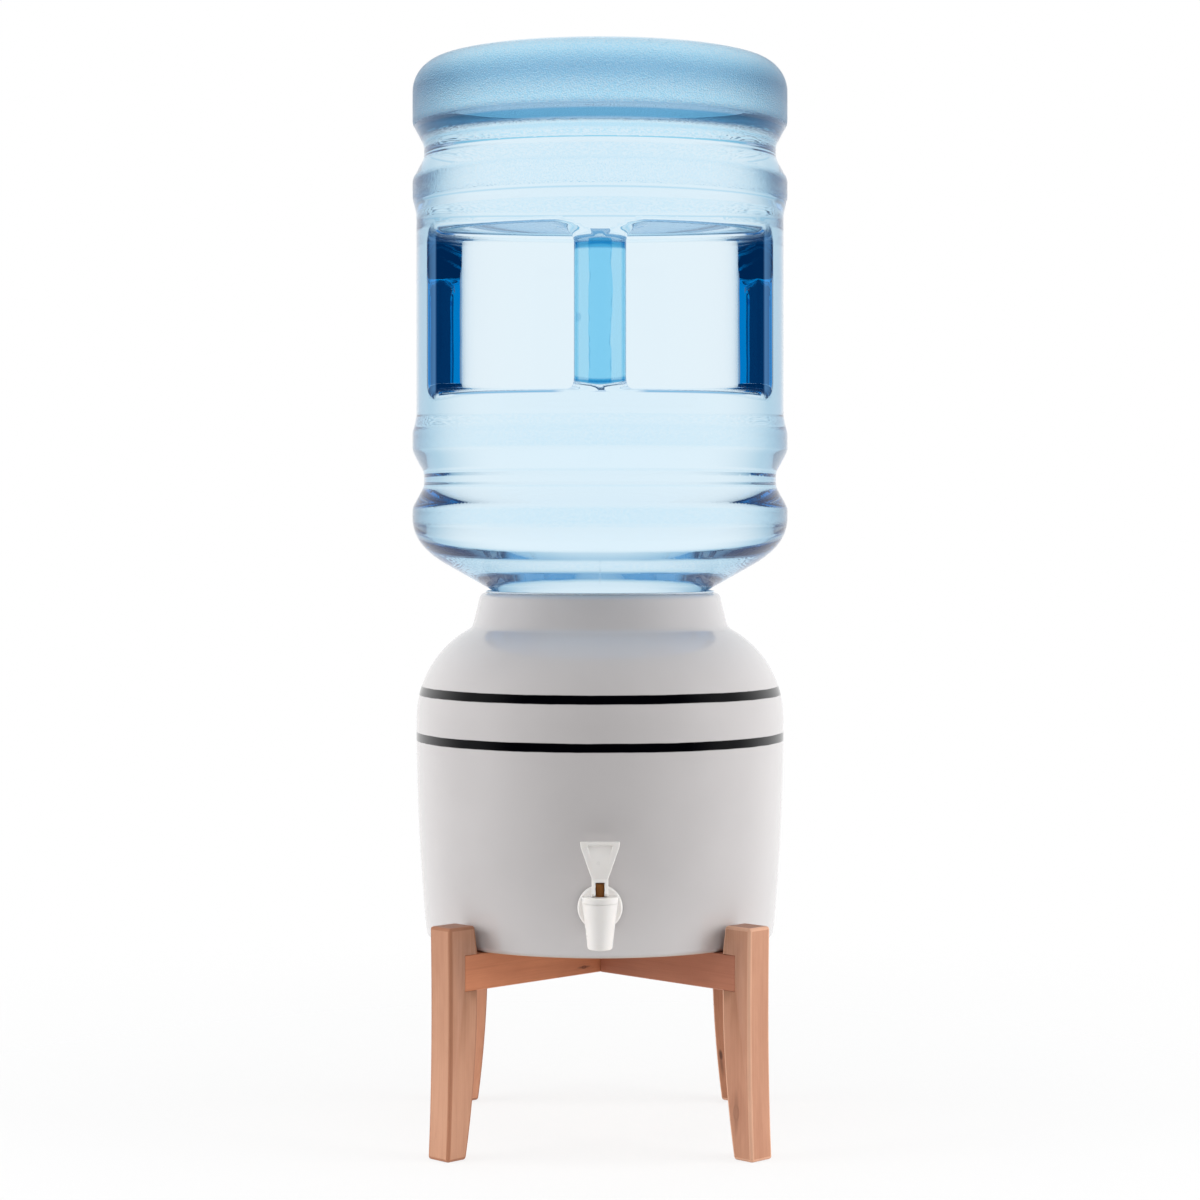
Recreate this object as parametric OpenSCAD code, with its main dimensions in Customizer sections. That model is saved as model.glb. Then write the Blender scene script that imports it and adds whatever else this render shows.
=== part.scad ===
// Countertop water dispenser: a glazed ceramic crock with a lever tap stands on a
// crossed wooden stand, and a large water bottle stands neck down in its mouth.
// Millimetres, +Z up, front towards -Y. The origin lies on the floor under the
// middle of the overall box; the crock's own axis stands axis_y behind it.

/* [Stand] */
// Height of the crock's base, which rests on the rails
stand_h = 140; // [100:1:260]
// How far the posts rise above the rails
post_h = 19.5; // [12:0.5:40]
// Thickness of the legs and the rails
leg_t = 21; // [16:1:30]
// Depth of a leg at the rails
leg_d = 26.5; // [22:0.5:36]
// Depth of a leg at the floor
foot_d = 17.5; // [12:0.5:24]
// How far the foot kicks out beyond the post
foot_kick = 2; // [0:0.5:12]
// How far the leg's outer edge is drawn in at half height
leg_waist = 2; // [0:0.5:6]
// Height of the rails
rail_h = 25; // [20:1:40]
// Depth of the housing that takes a rail's end
housing_d = 12.5; // [8:0.5:13]
// Room between the crock's base and the posts
post_gap = 4; // [1:0.5:8]
// Diameter of the dowels in the rails' ends
dowel_d = 6; // [4:0.5:8]
// Length of the dowels
dowel_len = 24; // [16:1:32]
// Distance between the two dowels of a joint
dowel_pitch = 11.5; // [9:0.5:12]

/* [Crock] */
// Height of the crock
crock_h = 246; // [200:1:320]
// Diameter of the belly
belly_d = 264; // [250:1:320]
// Diameter at the base
base_d = 249; // [200:1:260]
// Height of the rounded shoulder
crock_shoulder_h = 63.5; // [50:0.5:80]
// Diameter where the shoulder ends
shoulder_end_d = 189; // [184:1:200]
// Height of the neck
neck_h = 26.5; // [20:0.5:40]
// Diameter at the foot of the neck
neck_foot_d = 181.6; // [178:0.2:184]
// Outer diameter of the rim
rim_d = 174; // [170:1:178]
// Diameter of the mouth
mouth_d = 152; // [130:1:154]
// Thickness of the wall
crock_wall = 8; // [5:0.5:10]
// Thickness of the floor
floor_t = 10; // [6:0.5:16]
// Rounding of the rim
rim_round = 5; // [2:0.5:6]

/* [Bottle] */
// Diameter of the straight body
body_d = 264; // [220:1:320]
// How far the raised bands stand out of the body
band_rise = 2.8; // [1:0.2:6]
// Depth of the grooves below the body
groove_depth = 5.5; // [2:0.5:9]
// Wall of the bottle
bottle_wall = 2; // [1.2:0.1:3]
// Outer diameter of the neck
bottle_neck_d = 55; // [48:1:65]
// Length of the neck
bottle_neck_len = 55; // [40:1:80]
// Slope of the lower cone above the horizontal
cone_angle = 29.5; // [24:0.5:36]
// Height of the rounded shoulder between the cone and the first band
shoulder_h = 33; // [26:1:50]
// How far the rounded shoulder reaches inwards
shoulder_run = 24.4; // [16:0.2:34]
// Height of the first band
first_band_h = 6; // [4:1:20]
// Height of the straight body between its two bands
body_h = 145; // [120:1:220]
// Height of a raised band
band_h = 11; // [6:1:20]
// Half the width of a groove
groove_run = 22; // [14:1:30]
// Height of the upright heel at the closed end
heel_h = 21; // [10:1:40]
// Rounding of the heel
heel_round = 23; // [12:1:40]
// How far the closed end is dished
punt = 9; // [4:1:16]
// Depth of the hand recess
recess_d = 76; // [60:1:90]
// Height of the hand recess
recess_h = 117; // [90:1:118]
// Diameter of the grip bar
grip_d = 35.6; // [28:0.2:42]
// How far the grip bar lies inside the body's outline
grip_inset = 1; // [0.5:0.5:6]

/* [Tap] */
// Height of the shank's axis above the crock's base
tap_h = 36; // [32:1:60]
// Diameter of the shank
shank_d = 18.5; // [16:0.5:22.5]
// Bore of the shank
shank_bore = 9; // [6:0.5:10]
// How far the flange stands out around the shank
flange_lip = 6; // [5:0.2:10]
// Thickness of the flange
flange_t = 4; // [2.5:0.5:6]
// Wall around the valve chamber at the top of the barrel
barrel_wall = 4.9; // [4:0.1:8]
// Bore of the spout
spout_bore = 10; // [6:0.5:11]
// Wall at the lip of the spout
spout_wall = 3.2; // [2:0.1:5]
// How far the spout's lip lies below the shank's axis
spout_drop = 26.4; // [22:0.2:36]
// How far the bonnet's top lies above the shank's axis
bonnet_top = 9.2; // [9:0.2:14]
// Thickness of the bonnet
bonnet_t = 4.2; // [3:0.2:4.4]
// Diameter of the valve stem
stem_d = 6; // [5:0.2:7.4]
// Diameter of the lever's pin
pin_d = 2; // [1.6:0.1:2.6]
// Height of the pin above the bonnet
pin_h = 5; // [4.6:0.2:7]
// Height of the lever above the pin
lever_h = 32; // [24:1:44]
// Width of the lever at its top
lever_top_w = 26.8; // [18:0.2:34]
// Wall of the fork on each side of the stem
fork_wall = 2.4; // [1.8:0.1:4]
// Angle that the lever tilts to open the valve
lever_tilt = 50; // [30:1:60]
// Lift of the valve per radian of tilt
cam_rate = 3.2; // [2:0.1:4]

/* [Hidden] */
$fn = 96;

// Fits, and overlaps of shapes that make up one solid
run_fit = 0.05;
slip = 0.1;
seat_gap = 0.3;
merge = 0.5;
past = 5;

// Crock, measured from its base
belly_r = belly_d / 2;
base_r = base_d / 2;
mouth_r = mouth_d / 2;
base_round = 4;
floor_round = 8;
mouth_round = 3;
throat_flare = 5;
throat_r = mouth_r + throat_flare;
neck_z = crock_h - neck_h;
neck_blend = 6;
neck_bow = 1;
belly_z = neck_z - crock_shoulder_h;
arc_run = belly_r - shoulder_end_d / 2;
arc_r = (arc_run * arc_run + crock_shoulder_h * crock_shoulder_h) / (2 * arc_run);
arc_c = belly_r - arc_r;
arc_end = atan2(crock_shoulder_h, arc_r - arc_run);
arc_start = 4;
lining_arc_r = arc_r - crock_wall;
lining_arc_end = acos((throat_r - arc_c) / lining_arc_r);

// Radius of the crock's side at a height below the belly
function crock_side_r(z) = belly_r - (belly_r - base_r) * pow(1 - z / belly_z, 2);

// Bottle, measured from the open end of its neck
neck_r = bottle_neck_d / 2;
neck_round = 9;
lip_rise = 2;
lip_r = neck_r + lip_rise;
lip_h = 8;
body_r = body_d / 2;
band_r = body_r + band_rise;
groove_r = body_r - groove_depth;
cone_top_r = band_r - shoulder_run;
cone_top_z = bottle_neck_len + (cone_top_r - neck_r) * tan(cone_angle);
first_band_z = cone_top_z + shoulder_h;
step_run = 12;
low_groove_z = first_band_z + first_band_h + groove_run;
body_z = low_groove_z + groove_run + band_h + step_run;
high_band_z = body_z + body_h + step_run;
high_groove_z = high_band_z + band_h + groove_run;
heel_z = high_groove_z + groove_run;
bottle_h = heel_z + heel_h + heel_round;
rim_ring = 6;
punt_run = 20;
punt_r = band_r - heel_round - rim_ring - punt_run;
recess_back = body_r - recess_d;
recess_z = body_z + (body_h - recess_h) / 2;
grip_r = grip_d / 2;
grip_y = -(body_r - grip_inset - grip_r);

// Gasket in the mouth, and the bottle's seat on it
gasket_t = 1.2;
gasket_wall = 1.6;
gasket_skirt = 10;
gasket_flange = 6;
gasket_out_r = mouth_r - slip;
gasket_in_r = gasket_out_r - gasket_wall;
seat_ring = 1.5;
seat_r = mouth_r + seat_ring;
cone_z_at_seat = bottle_neck_len + (seat_r - neck_r) * tan(cone_angle);
bottle_z = crock_h + gasket_t + seat_gap - cone_z_at_seat;

// Valve, measured from the shank's axis
valve_lift = cam_rate * lever_tilt * PI / 180;
stem_r = stem_d / 2;
stem_grip = 3;
seal_r = 0.5;
spring_wire_r = 0.4;
spring_room = 1.8;
spring_r = stem_r + spring_room + spring_wire_r;
spring_turns = 6;
spring_sides = 6;
spring_steps = 8;
plug_h = 2.6;
plug_wall = 1.4;
plug_room = 0.4;
plug_in_r = spring_r + spring_wire_r + plug_room;
plug_r = plug_in_r + plug_wall;
chamber_r = plug_r + slip;
cup_h = 5.5;
cup_step = 1.5;
cup_room = 0.7;
cup_r = chamber_r - cup_room;
inlet_room = 0.7;
seat_z = -(shank_bore / 2 + inlet_room + valve_lift + cup_h);

// Tap, measured from the crock's axis and from the shank's axis
shank_r = shank_d / 2;
flange_r = shank_r + flange_lip;
washer_margin = 0.8;
washer_r = flange_r - washer_margin;
washer_t = 0.5;
flange_back = crock_side_r(tap_h + flange_r) + washer_t;
nut_face = sqrt(pow(crock_side_r(tap_h - washer_r) - crock_wall, 2) - pow(washer_r, 2)) - washer_t;
nut_t = 9;
nut_collar_t = 2.2;
nut_wall = 7.8;
nut_r = shank_r + nut_wall;
thread_past_nut = 4;
shank_in = nut_face - nut_t - thread_past_nut;
spout_r = spout_bore / 2 + spout_wall;
barrel_top_r = chamber_r + barrel_wall;
barrel_slope = (barrel_top_r - spout_r) / (spout_drop + bonnet_top);
function barrel_r(z) = spout_r + (z + spout_drop) * barrel_slope;
barrel_gap = 0.4;
barrel_out = flange_back + flange_t + barrel_top_r + barrel_gap;
bonnet_z = bonnet_top - bonnet_t;

// Lever, measured from its pin
pin_r = pin_d / 2;
pin_z = bonnet_top + pin_h;
cam_h = pin_h - seat_gap;
stem_end_r = 4.2;
lever_room = 0.4;
slot_r = stem_end_r + lever_room;
slot_w = stem_d + lever_room;
lever_fork_w = slot_w + 2 * fork_wall;
heel_y = 3.6;
heel_swell = 0.8;
blade_web = 2.4;
blade_z = slot_r + blade_web;
blade_t = 4.6;
tip_t = 3;
fork_swell = 1.6;
fork_neck = 3;
scoop_border = 2.6;
scoop_depth = 1.8;

// The crock's axis lies behind the origin, so that the origin is under the middle of the box
axis_y = (barrel_out + barrel_top_r - max(band_r, belly_r)) / 2;

// Stand, measured from the crock's axis
post_in_r = base_r + post_gap;
post_out_r = post_in_r + leg_d;
lean_room = 1;
post_lean = crock_side_r(post_h) - base_r + lean_room;
foot_out_r = post_out_r + foot_kick;
foot_in_r = foot_out_r - foot_d;
rail_z = stand_h - slip - rail_h;
rail_end = post_in_r + housing_d;
dowel_in_leg = 8;
dowel_end = rail_end + dowel_in_leg;

// Curves as lists of [radius, height] points: an arc, a blend that leaves towards and
// arrives from q, an S-shaped step, and a line moved d to the left of its own direction
function arc(c, r, a, b, n) =
    [for (i = [0 : n]) let (t = a + (b - a) * i / n) c + r * [cos(t), sin(t)]];
function blend(p, q, s, n) =
    [for (i = [0 : n]) let (t = i / n) (1 - t) * (1 - t) * p + 2 * t * (1 - t) * q + t * t * s];
function step(r, z, to_r, to_z, n) =
    [for (i = [0 : n]) [r + (to_r - r) * (1 - cos(180 * i / n)) / 2, z + (to_z - z) * i / n]];
function inset(p, d) = [for (i = [0 : len(p) - 1])
    let (v = p[min(i + 1, len(p) - 1)] - p[max(i - 1, 0)]) p[i] + d * [-v[1], v[0]] / norm(v)];

// Places
module at_axis() translate([0, axis_y, 0]) children();
module at_crock() at_axis() translate([0, 0, stand_h]) children();
module at_bottle() at_crock() translate([0, 0, bottle_z]) children();
module at_tap() at_crock() translate([0, 0, tap_h]) children();
module at_barrel() at_tap() translate([0, -barrel_out, 0]) children();
module at_pin() at_barrel() translate([0, 0, pin_z]) children();

// A cylinder along Y, between two distances in front of the axis
module shank_cylinder(r, from, to) translate([0, -from, 0]) rotate([90, 0, 0]) cylinder(r = r, h = to - from);
// A cylinder along X, centred
module cross_cylinder(r, w) rotate([0, 90, 0]) cylinder(r = r, h = w, center = true);
// A plate that spans w across X, with its outline in Y and Z
module side_plate(w, points) translate([-w / 2, 0, 0]) rotate([90, 0, 90]) linear_extrude(w) polygon(points);

// Crock

function crock_outline() = concat(
    [[0, 0]],
    arc([base_r - base_round, base_round], base_round, -90, 0, 4),
    [for (i = [1 : 8]) let (z = base_round + (belly_z - base_round) * i / 8) [crock_side_r(z), z]],
    arc([arc_c, belly_z], arc_r, arc_start, arc_end, 12),
    blend([shoulder_end_d / 2, neck_z], [neck_foot_d / 2 + neck_bow, neck_z + neck_blend / 4],
          [neck_foot_d / 2, neck_z + neck_blend], 4),
    arc([rim_d / 2 - rim_round, crock_h - rim_round], rim_round, 0, 90, 6));

function crock_lining() = let (side_z = floor_t + floor_round, side_h = belly_z - side_z) concat(
    arc([mouth_r + mouth_round, crock_h - mouth_round], mouth_round, 90, 180, 4),
    arc([arc_c, belly_z], lining_arc_r, lining_arc_end, arc_start, 10),
    [for (i = [8 : -1 : 1]) [crock_side_r(side_z + side_h * i / 8) - crock_wall, side_z + side_h * i / 8]],
    arc([crock_side_r(side_z) - crock_wall - floor_round, side_z], floor_round, 0, -90, 4),
    [[0, floor_t]]);

module crock_skin() rotate_extrude($fn = 4 * $fn) polygon(concat(crock_outline(), [[0, crock_h]]));

module crock_hollow() rotate_extrude($fn = 4 * $fn) polygon(concat(crock_lining(), [[0, crock_h]]));

module crock() color("gainsboro") at_crock() difference() {
    rotate_extrude() polygon(concat(crock_outline(), crock_lining()));
    translate([0, 0, tap_h]) shank_cylinder(shank_r + 2 * slip, shank_in, flange_back);
}

// Soft ring that takes the bottle's weight off the glazed rim
module mouth_gasket() color("whitesmoke") at_crock() rotate_extrude() polygon(concat(
    [[gasket_in_r, crock_h - gasket_skirt], [gasket_out_r, crock_h - gasket_skirt]],
    arc([mouth_r + mouth_round, crock_h - mouth_round], mouth_round + slip, 180, 90, 4),
    [[mouth_r + gasket_flange, crock_h], [mouth_r + gasket_flange, crock_h + gasket_t]],
    [[seat_r, crock_h + gasket_t]],
    [[gasket_in_r, crock_h + gasket_t - (seat_r - gasket_in_r) * tan(cone_angle)]]));

// Bottle

function bottle_outline() = concat(
    [[neck_r, 0]],
    blend([neck_r, bottle_neck_len - neck_round], [neck_r, bottle_neck_len],
          [neck_r + neck_round, bottle_neck_len + neck_round * tan(cone_angle)], 4),
    blend([cone_top_r, cone_top_z], [band_r, cone_top_z + shoulder_run * tan(cone_angle)],
          [band_r, first_band_z], 10),
    step(band_r, first_band_z + first_band_h, groove_r, low_groove_z, 6),
    step(groove_r, low_groove_z + merge, band_r, low_groove_z + groove_run, 6),
    step(band_r, body_z - step_run, body_r, body_z, 4),
    step(body_r, body_z + body_h, band_r, high_band_z, 4),
    step(band_r, high_band_z + band_h, groove_r, high_groove_z, 6),
    step(groove_r, high_groove_z + merge, band_r, heel_z, 6),
    arc([band_r - heel_round, bottle_h - heel_round], heel_round, 0, 90, 8),
    step(punt_r + punt_run, bottle_h, punt_r, bottle_h - punt, 4),
    [[0, bottle_h - punt]]);

// What the hand recess takes out, grown by the wall on the inside
module recess(grow) translate([-band_r, -2 * band_r - recess_back + grow, recess_z - grow])
    cube([2 * band_r, 2 * band_r, recess_h + 2 * grow]);

module grip(r, past_ends) translate([0, grip_y, recess_z - past_ends])
    cylinder(r = r, h = recess_h + 2 * past_ends);

module bottle_skin() {
    difference() {
        rotate_extrude() polygon(concat([[0, 0]], bottle_outline()));
        recess(0);
    }
    grip(grip_r, merge);
    cylinder(r = lip_r, h = lip_h);
}

module bottle_hollow() {
    difference() {
        rotate_extrude() polygon(concat([[0, -past], [neck_r - bottle_wall, -past]],
            inset(bottle_outline(), bottle_wall)));
        recess(bottle_wall);
    }
    grip(grip_r - bottle_wall, bottle_wall + merge);
}

module bottle() color("lightskyblue", 0.5) at_bottle() difference() {
    bottle_skin();
    bottle_hollow();
}

// Stand

// A leg in its own plane: distance from the axis, height
function leg_outline() = concat(
    blend([foot_out_r, 0], [post_out_r - leg_waist, stand_h / 2], [post_out_r, stand_h + post_h], 8),
    [[post_in_r + post_lean, stand_h + post_h], [post_in_r, stand_h]],
    blend([post_in_r, rail_z], [post_in_r, rail_z / 2], [foot_in_r, 0], 6));

// The two dowels of one joint, lying along the rail
module dowel_pair(r, from, to) for (side = [-1, 1])
    translate([from, 0, rail_z + rail_h / 2 + side * dowel_pitch / 2])
        rotate([0, 90, 0]) cylinder(r = r, h = to - from);

module leg(turn) color("burlywood") at_axis() rotate([0, 0, turn]) difference() {
    translate([0, leg_t / 2, 0]) rotate([90, 0, 0]) linear_extrude(leg_t) polygon(leg_outline());
    translate([post_in_r - past, -leg_t, rail_z]) cube([housing_d + past, 2 * leg_t, rail_h]);
    dowel_pair(dowel_d / 2 + run_fit, rail_end - past, dowel_end + merge);
}

// A rail from one leg to the opposite one, with half its height cut out at the crossing
module rail(turn, notch_z) color("peru") at_axis() rotate([0, 0, turn]) difference() {
    translate([-rail_end, -leg_t / 2, rail_z]) cube([2 * rail_end, leg_t, rail_h]);
    translate([-leg_t / 2 - slip, -leg_t, notch_z]) cube([leg_t + 2 * slip, 2 * leg_t, rail_h / 2 + past]);
    for (end = [0, 180]) rotate([0, 0, end])
        dowel_pair(dowel_d / 2 + run_fit, dowel_end - dowel_len - merge, rail_end + past);
}

module leg_front_left() leg(225);
module leg_front_right() leg(315);
module leg_back_left() leg(135);
module leg_back_right() leg(45);
module rail_notched_above() rail(45, rail_z + rail_h / 2);
module rail_notched_below() rail(135, rail_z - past);

module rail_dowels() color("wheat") at_axis() for (turn = [45 : 90 : 315]) rotate([0, 0, turn])
    dowel_pair(dowel_d / 2, dowel_end - dowel_len, dowel_end);

// Tap

module tap_body() color("white") difference() {
    union() {
        at_tap() shank_cylinder(shank_r, shank_in, barrel_out);
        at_tap() shank_cylinder(flange_r, flange_back, flange_back + flange_t);
        at_barrel() translate([0, 0, -spout_drop])
            cylinder(r1 = spout_r, r2 = barrel_r(bonnet_z), h = bonnet_z + spout_drop);
    }
    at_tap() shank_cylinder(shank_bore / 2, shank_in - past, barrel_out);
    at_barrel() translate([0, 0, seat_z]) cylinder(r = chamber_r, h = bonnet_top - seat_z + past);
    at_barrel() translate([0, 0, -spout_drop - past]) cylinder(r = spout_bore / 2, h = spout_drop + past);
    at_barrel() translate([0, 0, bonnet_z]) cylinder(r = barrel_top_r + slip, h = bonnet_t + past);
    at_barrel() translate([0, 0, bonnet_z - 2 * seal_r - slip])
        cylinder(r = chamber_r + 2 * seal_r + slip, h = past);
}

module tap_bonnet() color("white") at_barrel() difference() {
    union() {
        translate([0, 0, bonnet_z]) cylinder(r1 = barrel_r(bonnet_z), r2 = barrel_top_r, h = bonnet_t);
        translate([0, 0, bonnet_z - plug_h]) cylinder(r = plug_r, h = plug_h + merge);
    }
    translate([0, 0, bonnet_z - plug_h - past]) cylinder(r = plug_in_r, h = plug_h + past);
    translate([0, 0, bonnet_z - past]) cylinder(r = stem_r + run_fit, h = bonnet_t + 2 * past);
    translate([0, 0, bonnet_z - merge])
        cylinder(r = stem_r + 2 * seal_r + 2 * slip, h = 2 * seal_r + slip + merge);
}

module seal_ring(r, z) at_barrel() translate([0, 0, z]) rotate_extrude() translate([r, 0]) circle(r = seal_r);
module bonnet_seal() color("dimgray") seal_ring(chamber_r + seal_r + slip / 2, bonnet_z - seal_r - slip / 2);
module stem_seal() color("dimgray") seal_ring(stem_r + seal_r + slip, bonnet_z + seal_r + slip / 2);

// The washers follow the crock's curved wall on one side and are flat on the other
module washer(from, to) difference() {
    shank_cylinder(washer_r, from, to);
    shank_cylinder(shank_r + slip, from - past, to + past);
}

module outer_washer() color("dimgray") at_tap() difference() {
    washer(flange_back - 2 * past, flange_back);
    translate([0, 0, -tap_h]) crock_skin();
}

module inner_washer() color("dimgray") at_tap() intersection() {
    washer(nut_face, nut_face + 2 * past);
    translate([0, 0, -tap_h]) crock_hollow();
}

module shank_nut() color("white") at_tap() difference() {
    union() {
        shank_cylinder(washer_r, nut_face - nut_collar_t, nut_face);
        translate([0, -(nut_face - nut_t), 0]) rotate([90, 0, 0])
            cylinder(r = nut_r, h = nut_t - nut_collar_t + merge, $fn = 6);
    }
    shank_cylinder(shank_r + slip, shank_in, flange_back);
}

// Valve

module valve_stem() color("saddlebrown") difference() {
    union() {
        at_barrel() translate([0, 0, seat_z + cup_h - stem_grip])
            cylinder(r = stem_r, h = pin_z - seat_z - cup_h + stem_grip);
        at_pin() intersection() {
            cylinder(r = stem_r, h = stem_end_r + past);
            cross_cylinder(stem_end_r, stem_d + past);
        }
    }
    at_pin() cross_cylinder(pin_r + run_fit, stem_d + past);
}

module seat_cup() color("ivory") at_barrel() translate([0, 0, seat_z]) difference() {
    union() {
        cylinder(r = cup_r, h = cup_h - cup_step);
        cylinder(r = spring_r + spring_wire_r, h = cup_h);
    }
    translate([0, 0, cup_h - stem_grip - slip]) cylinder(r = stem_r + run_fit, h = stem_grip + past);
}

// The spring stands on the cup and pushes against the bonnet; it is one tube along a helix
spring_from = seat_z + cup_h + spring_wire_r + slip;
spring_to = bonnet_z - spring_wire_r - slip;
spring_pitch = (spring_to - spring_from) / spring_turns;
spring_rise = atan(spring_pitch / (2 * PI * spring_r));
spring_rings = spring_turns * spring_steps;
function spring_point(i, j) =
    let (a = 360 * i / spring_steps, b = 360 * j / spring_sides,
         out = spring_r + spring_wire_r * cos(b), lean = spring_wire_r * sin(b) * sin(spring_rise))
    [out * cos(a) + lean * sin(a), out * sin(a) - lean * cos(a),
     spring_from + spring_pitch * i / spring_steps + spring_wire_r * sin(b) * cos(spring_rise)];
function spring_centre(i) = [spring_r * cos(360 * i / spring_steps), spring_r * sin(360 * i / spring_steps),
    spring_pitch * i / spring_steps];
least_spring_gap = min([for (i = [spring_steps / 2 : 3 * spring_steps / 2])
    norm(spring_centre(i) - spring_centre(0))]) - 2 * spring_wire_r;
echo(least_spring_gap = least_spring_gap);

module valve_spring() color("silver") at_barrel() polyhedron(
    points = [for (i = [0 : spring_rings]) for (j = [0 : spring_sides - 1]) spring_point(i, j)],
    faces = concat(
        [for (i = [0 : spring_rings - 1]) for (j = [0 : spring_sides - 1])
            let (a = i * spring_sides + j, b = i * spring_sides + (j + 1) % spring_sides)
            each [[a, b, b + spring_sides], [a, b + spring_sides, a + spring_sides]]],
        [for (j = [1 : spring_sides - 2]) [0, j + 1, j]],
        [for (j = [1 : spring_sides - 2]) let (e = spring_rings * spring_sides) [e, e + j, e + j + 1]]));

module lever_pin() color("silver") at_pin() cross_cylinder(pin_r, lever_fork_w - 2 * slip);

// The foot's front edge is an involute, so the valve lifts evenly as the lever tilts
function cam_point(a) = let (h = cam_h + cam_rate * a * PI / 180)
    h * [-sin(a), -cos(a)] + cam_rate * [-cos(a), sin(a)];

// The lever seen from the side: distance behind the pin, height
function lever_side() = concat(
    [[heel_y, -cam_h]],
    [for (i = [0 : 10]) cam_point(lever_tilt * i / 10)],
    [[-blade_t / 2 - fork_swell, blade_z - fork_neck], [-blade_t / 2, blade_z], [-blade_t / 2, lever_h],
     [tip_t - blade_t / 2, lever_h], [blade_t / 2, blade_z], [heel_y + heel_swell, 0]]);

// The lever's blade seen from the front, less a border
function blade_front(border) = [
    [-lever_fork_w / 2 + border, blade_z], [lever_fork_w / 2 - border, blade_z],
    [lever_top_w / 2 - border, lever_h - border], [-lever_top_w / 2 + border, lever_h - border]];

module lever_blank() intersection() {
    side_plate(lever_top_w, lever_side());
    translate([0, 3 * past, 0]) rotate([90, 0, 0]) linear_extrude(6 * past) union() {
        polygon(blade_front(0));
        translate([-lever_fork_w / 2, -pin_h]) square([lever_fork_w, pin_h + blade_z]);
    }
}

// Thumb scoop: deep under the top edge, running out towards the fork
module lever_scoop() intersection() {
    rotate([90, 0, 0]) linear_extrude(3 * past) polygon(blade_front(scoop_border));
    side_plate(lever_top_w, [[-blade_t, blade_z], [-blade_t / 2 + scoop_depth, lever_h],
        [-blade_t - past, lever_h], [-blade_t - past, blade_z]]);
}

module tap_lever() color("white") at_pin() difference() {
    lever_blank();
    lever_scoop();
    translate([-slot_w / 2, -3 * past, -3 * past]) cube([slot_w, 6 * past, 3 * past + slot_r]);
    cross_cylinder(pin_r + run_fit, lever_top_w);
}

leg_front_left();
leg_front_right();
leg_back_left();
leg_back_right();
rail_notched_above();
rail_notched_below();
rail_dowels();
crock();
mouth_gasket();
tap_body();
tap_bonnet();
bonnet_seal();
stem_seal();
outer_washer();
inner_washer();
shank_nut();
valve_stem();
seat_cup();
valve_spring();
lever_pin();
tap_lever();
bottle();
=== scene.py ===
"""Countertop water dispenser: a glazed crock with a lever tap, its wooden stand and its water bottle."""
import math

import bmesh
import bpy
import numpy
from bpy.props import FloatProperty, FloatVectorProperty, IntProperty, PointerProperty
from mathutils import Matrix, Vector


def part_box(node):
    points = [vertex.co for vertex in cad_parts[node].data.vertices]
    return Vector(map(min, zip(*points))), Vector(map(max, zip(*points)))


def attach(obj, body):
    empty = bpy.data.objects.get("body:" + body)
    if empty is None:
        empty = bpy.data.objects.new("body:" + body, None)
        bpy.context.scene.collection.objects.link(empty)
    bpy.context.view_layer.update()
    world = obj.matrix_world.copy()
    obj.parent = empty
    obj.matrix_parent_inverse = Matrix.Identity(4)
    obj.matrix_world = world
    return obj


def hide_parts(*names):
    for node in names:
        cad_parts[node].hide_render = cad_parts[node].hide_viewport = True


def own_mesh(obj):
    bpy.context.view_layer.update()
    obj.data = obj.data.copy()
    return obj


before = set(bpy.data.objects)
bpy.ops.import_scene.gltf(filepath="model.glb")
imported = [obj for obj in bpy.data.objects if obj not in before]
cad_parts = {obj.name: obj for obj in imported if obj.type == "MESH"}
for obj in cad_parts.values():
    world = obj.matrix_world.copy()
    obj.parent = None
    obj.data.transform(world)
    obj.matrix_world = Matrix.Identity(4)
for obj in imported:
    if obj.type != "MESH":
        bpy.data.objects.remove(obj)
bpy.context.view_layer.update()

bl_info = {
    "name": "Ceramic Water Dispenser",
    "version": (1, 0, 0),
    "blender": (4, 5, 0),
    "location": "View3D > Sidebar > Dispenser",
    "description": "Builds the crock, tap, stand and bottle of a water dispenser around its packed model",
    "category": "Add Mesh",
}

# Places read from the packed model, in metres
CROCK_LOW, CROCK_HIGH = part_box("crock")
BOTTLE_LOW, BOTTLE_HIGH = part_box("bottle")
TAP_LOW, TAP_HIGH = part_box("tap_body")
BONNET_LOW, BONNET_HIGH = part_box("tap_bonnet")
RAIL_LOW, RAIL_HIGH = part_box("rail_notched_above")
POST_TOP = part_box("leg_front_left")[1].z
PIN_Z = sum(corner.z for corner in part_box("lever_pin")) / 2
SHANK_Z = sum(corner.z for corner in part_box("outer_washer")) / 2
AXIS_Y = (CROCK_LOW.y + CROCK_HIGH.y) / 2
BARREL_Y = (BONNET_LOW.y + BONNET_HIGH.y) / 2
LEGS = {"leg_front_left": 225, "leg_front_right": 315, "leg_back_left": 135, "leg_back_right": 45}
RAILS = {"rail_notched_above": 45, "rail_notched_below": 135}


# Properties

def length(name, default, description):
    """A length in metres that a user may change."""
    return FloatProperty(name=name, description=description, default=default, precision=5,
                         subtype="DISTANCE", unit="LENGTH")


def angle(name, degrees, description):
    """An angle that a user may change."""
    return FloatProperty(name=name, description=description, default=math.radians(degrees),
                         subtype="ANGLE", unit="ROTATION")


def amount(name, default, description):
    """A share that a user may change."""
    return FloatProperty(name=name, description=description, default=default, min=0.0, soft_max=1.0,
                         subtype="FACTOR")


def number(name, default, description, unit="NONE"):
    """A number that a user may change, plain or in a unit."""
    return FloatProperty(name=name, description=description, default=default, min=0.0, unit=unit)


def colour(name, default, description):
    """A colour that a user may change."""
    return FloatVectorProperty(name=name, description=description, default=default, size=3,
                               min=0.0, max=1.0, subtype="COLOR")


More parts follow.
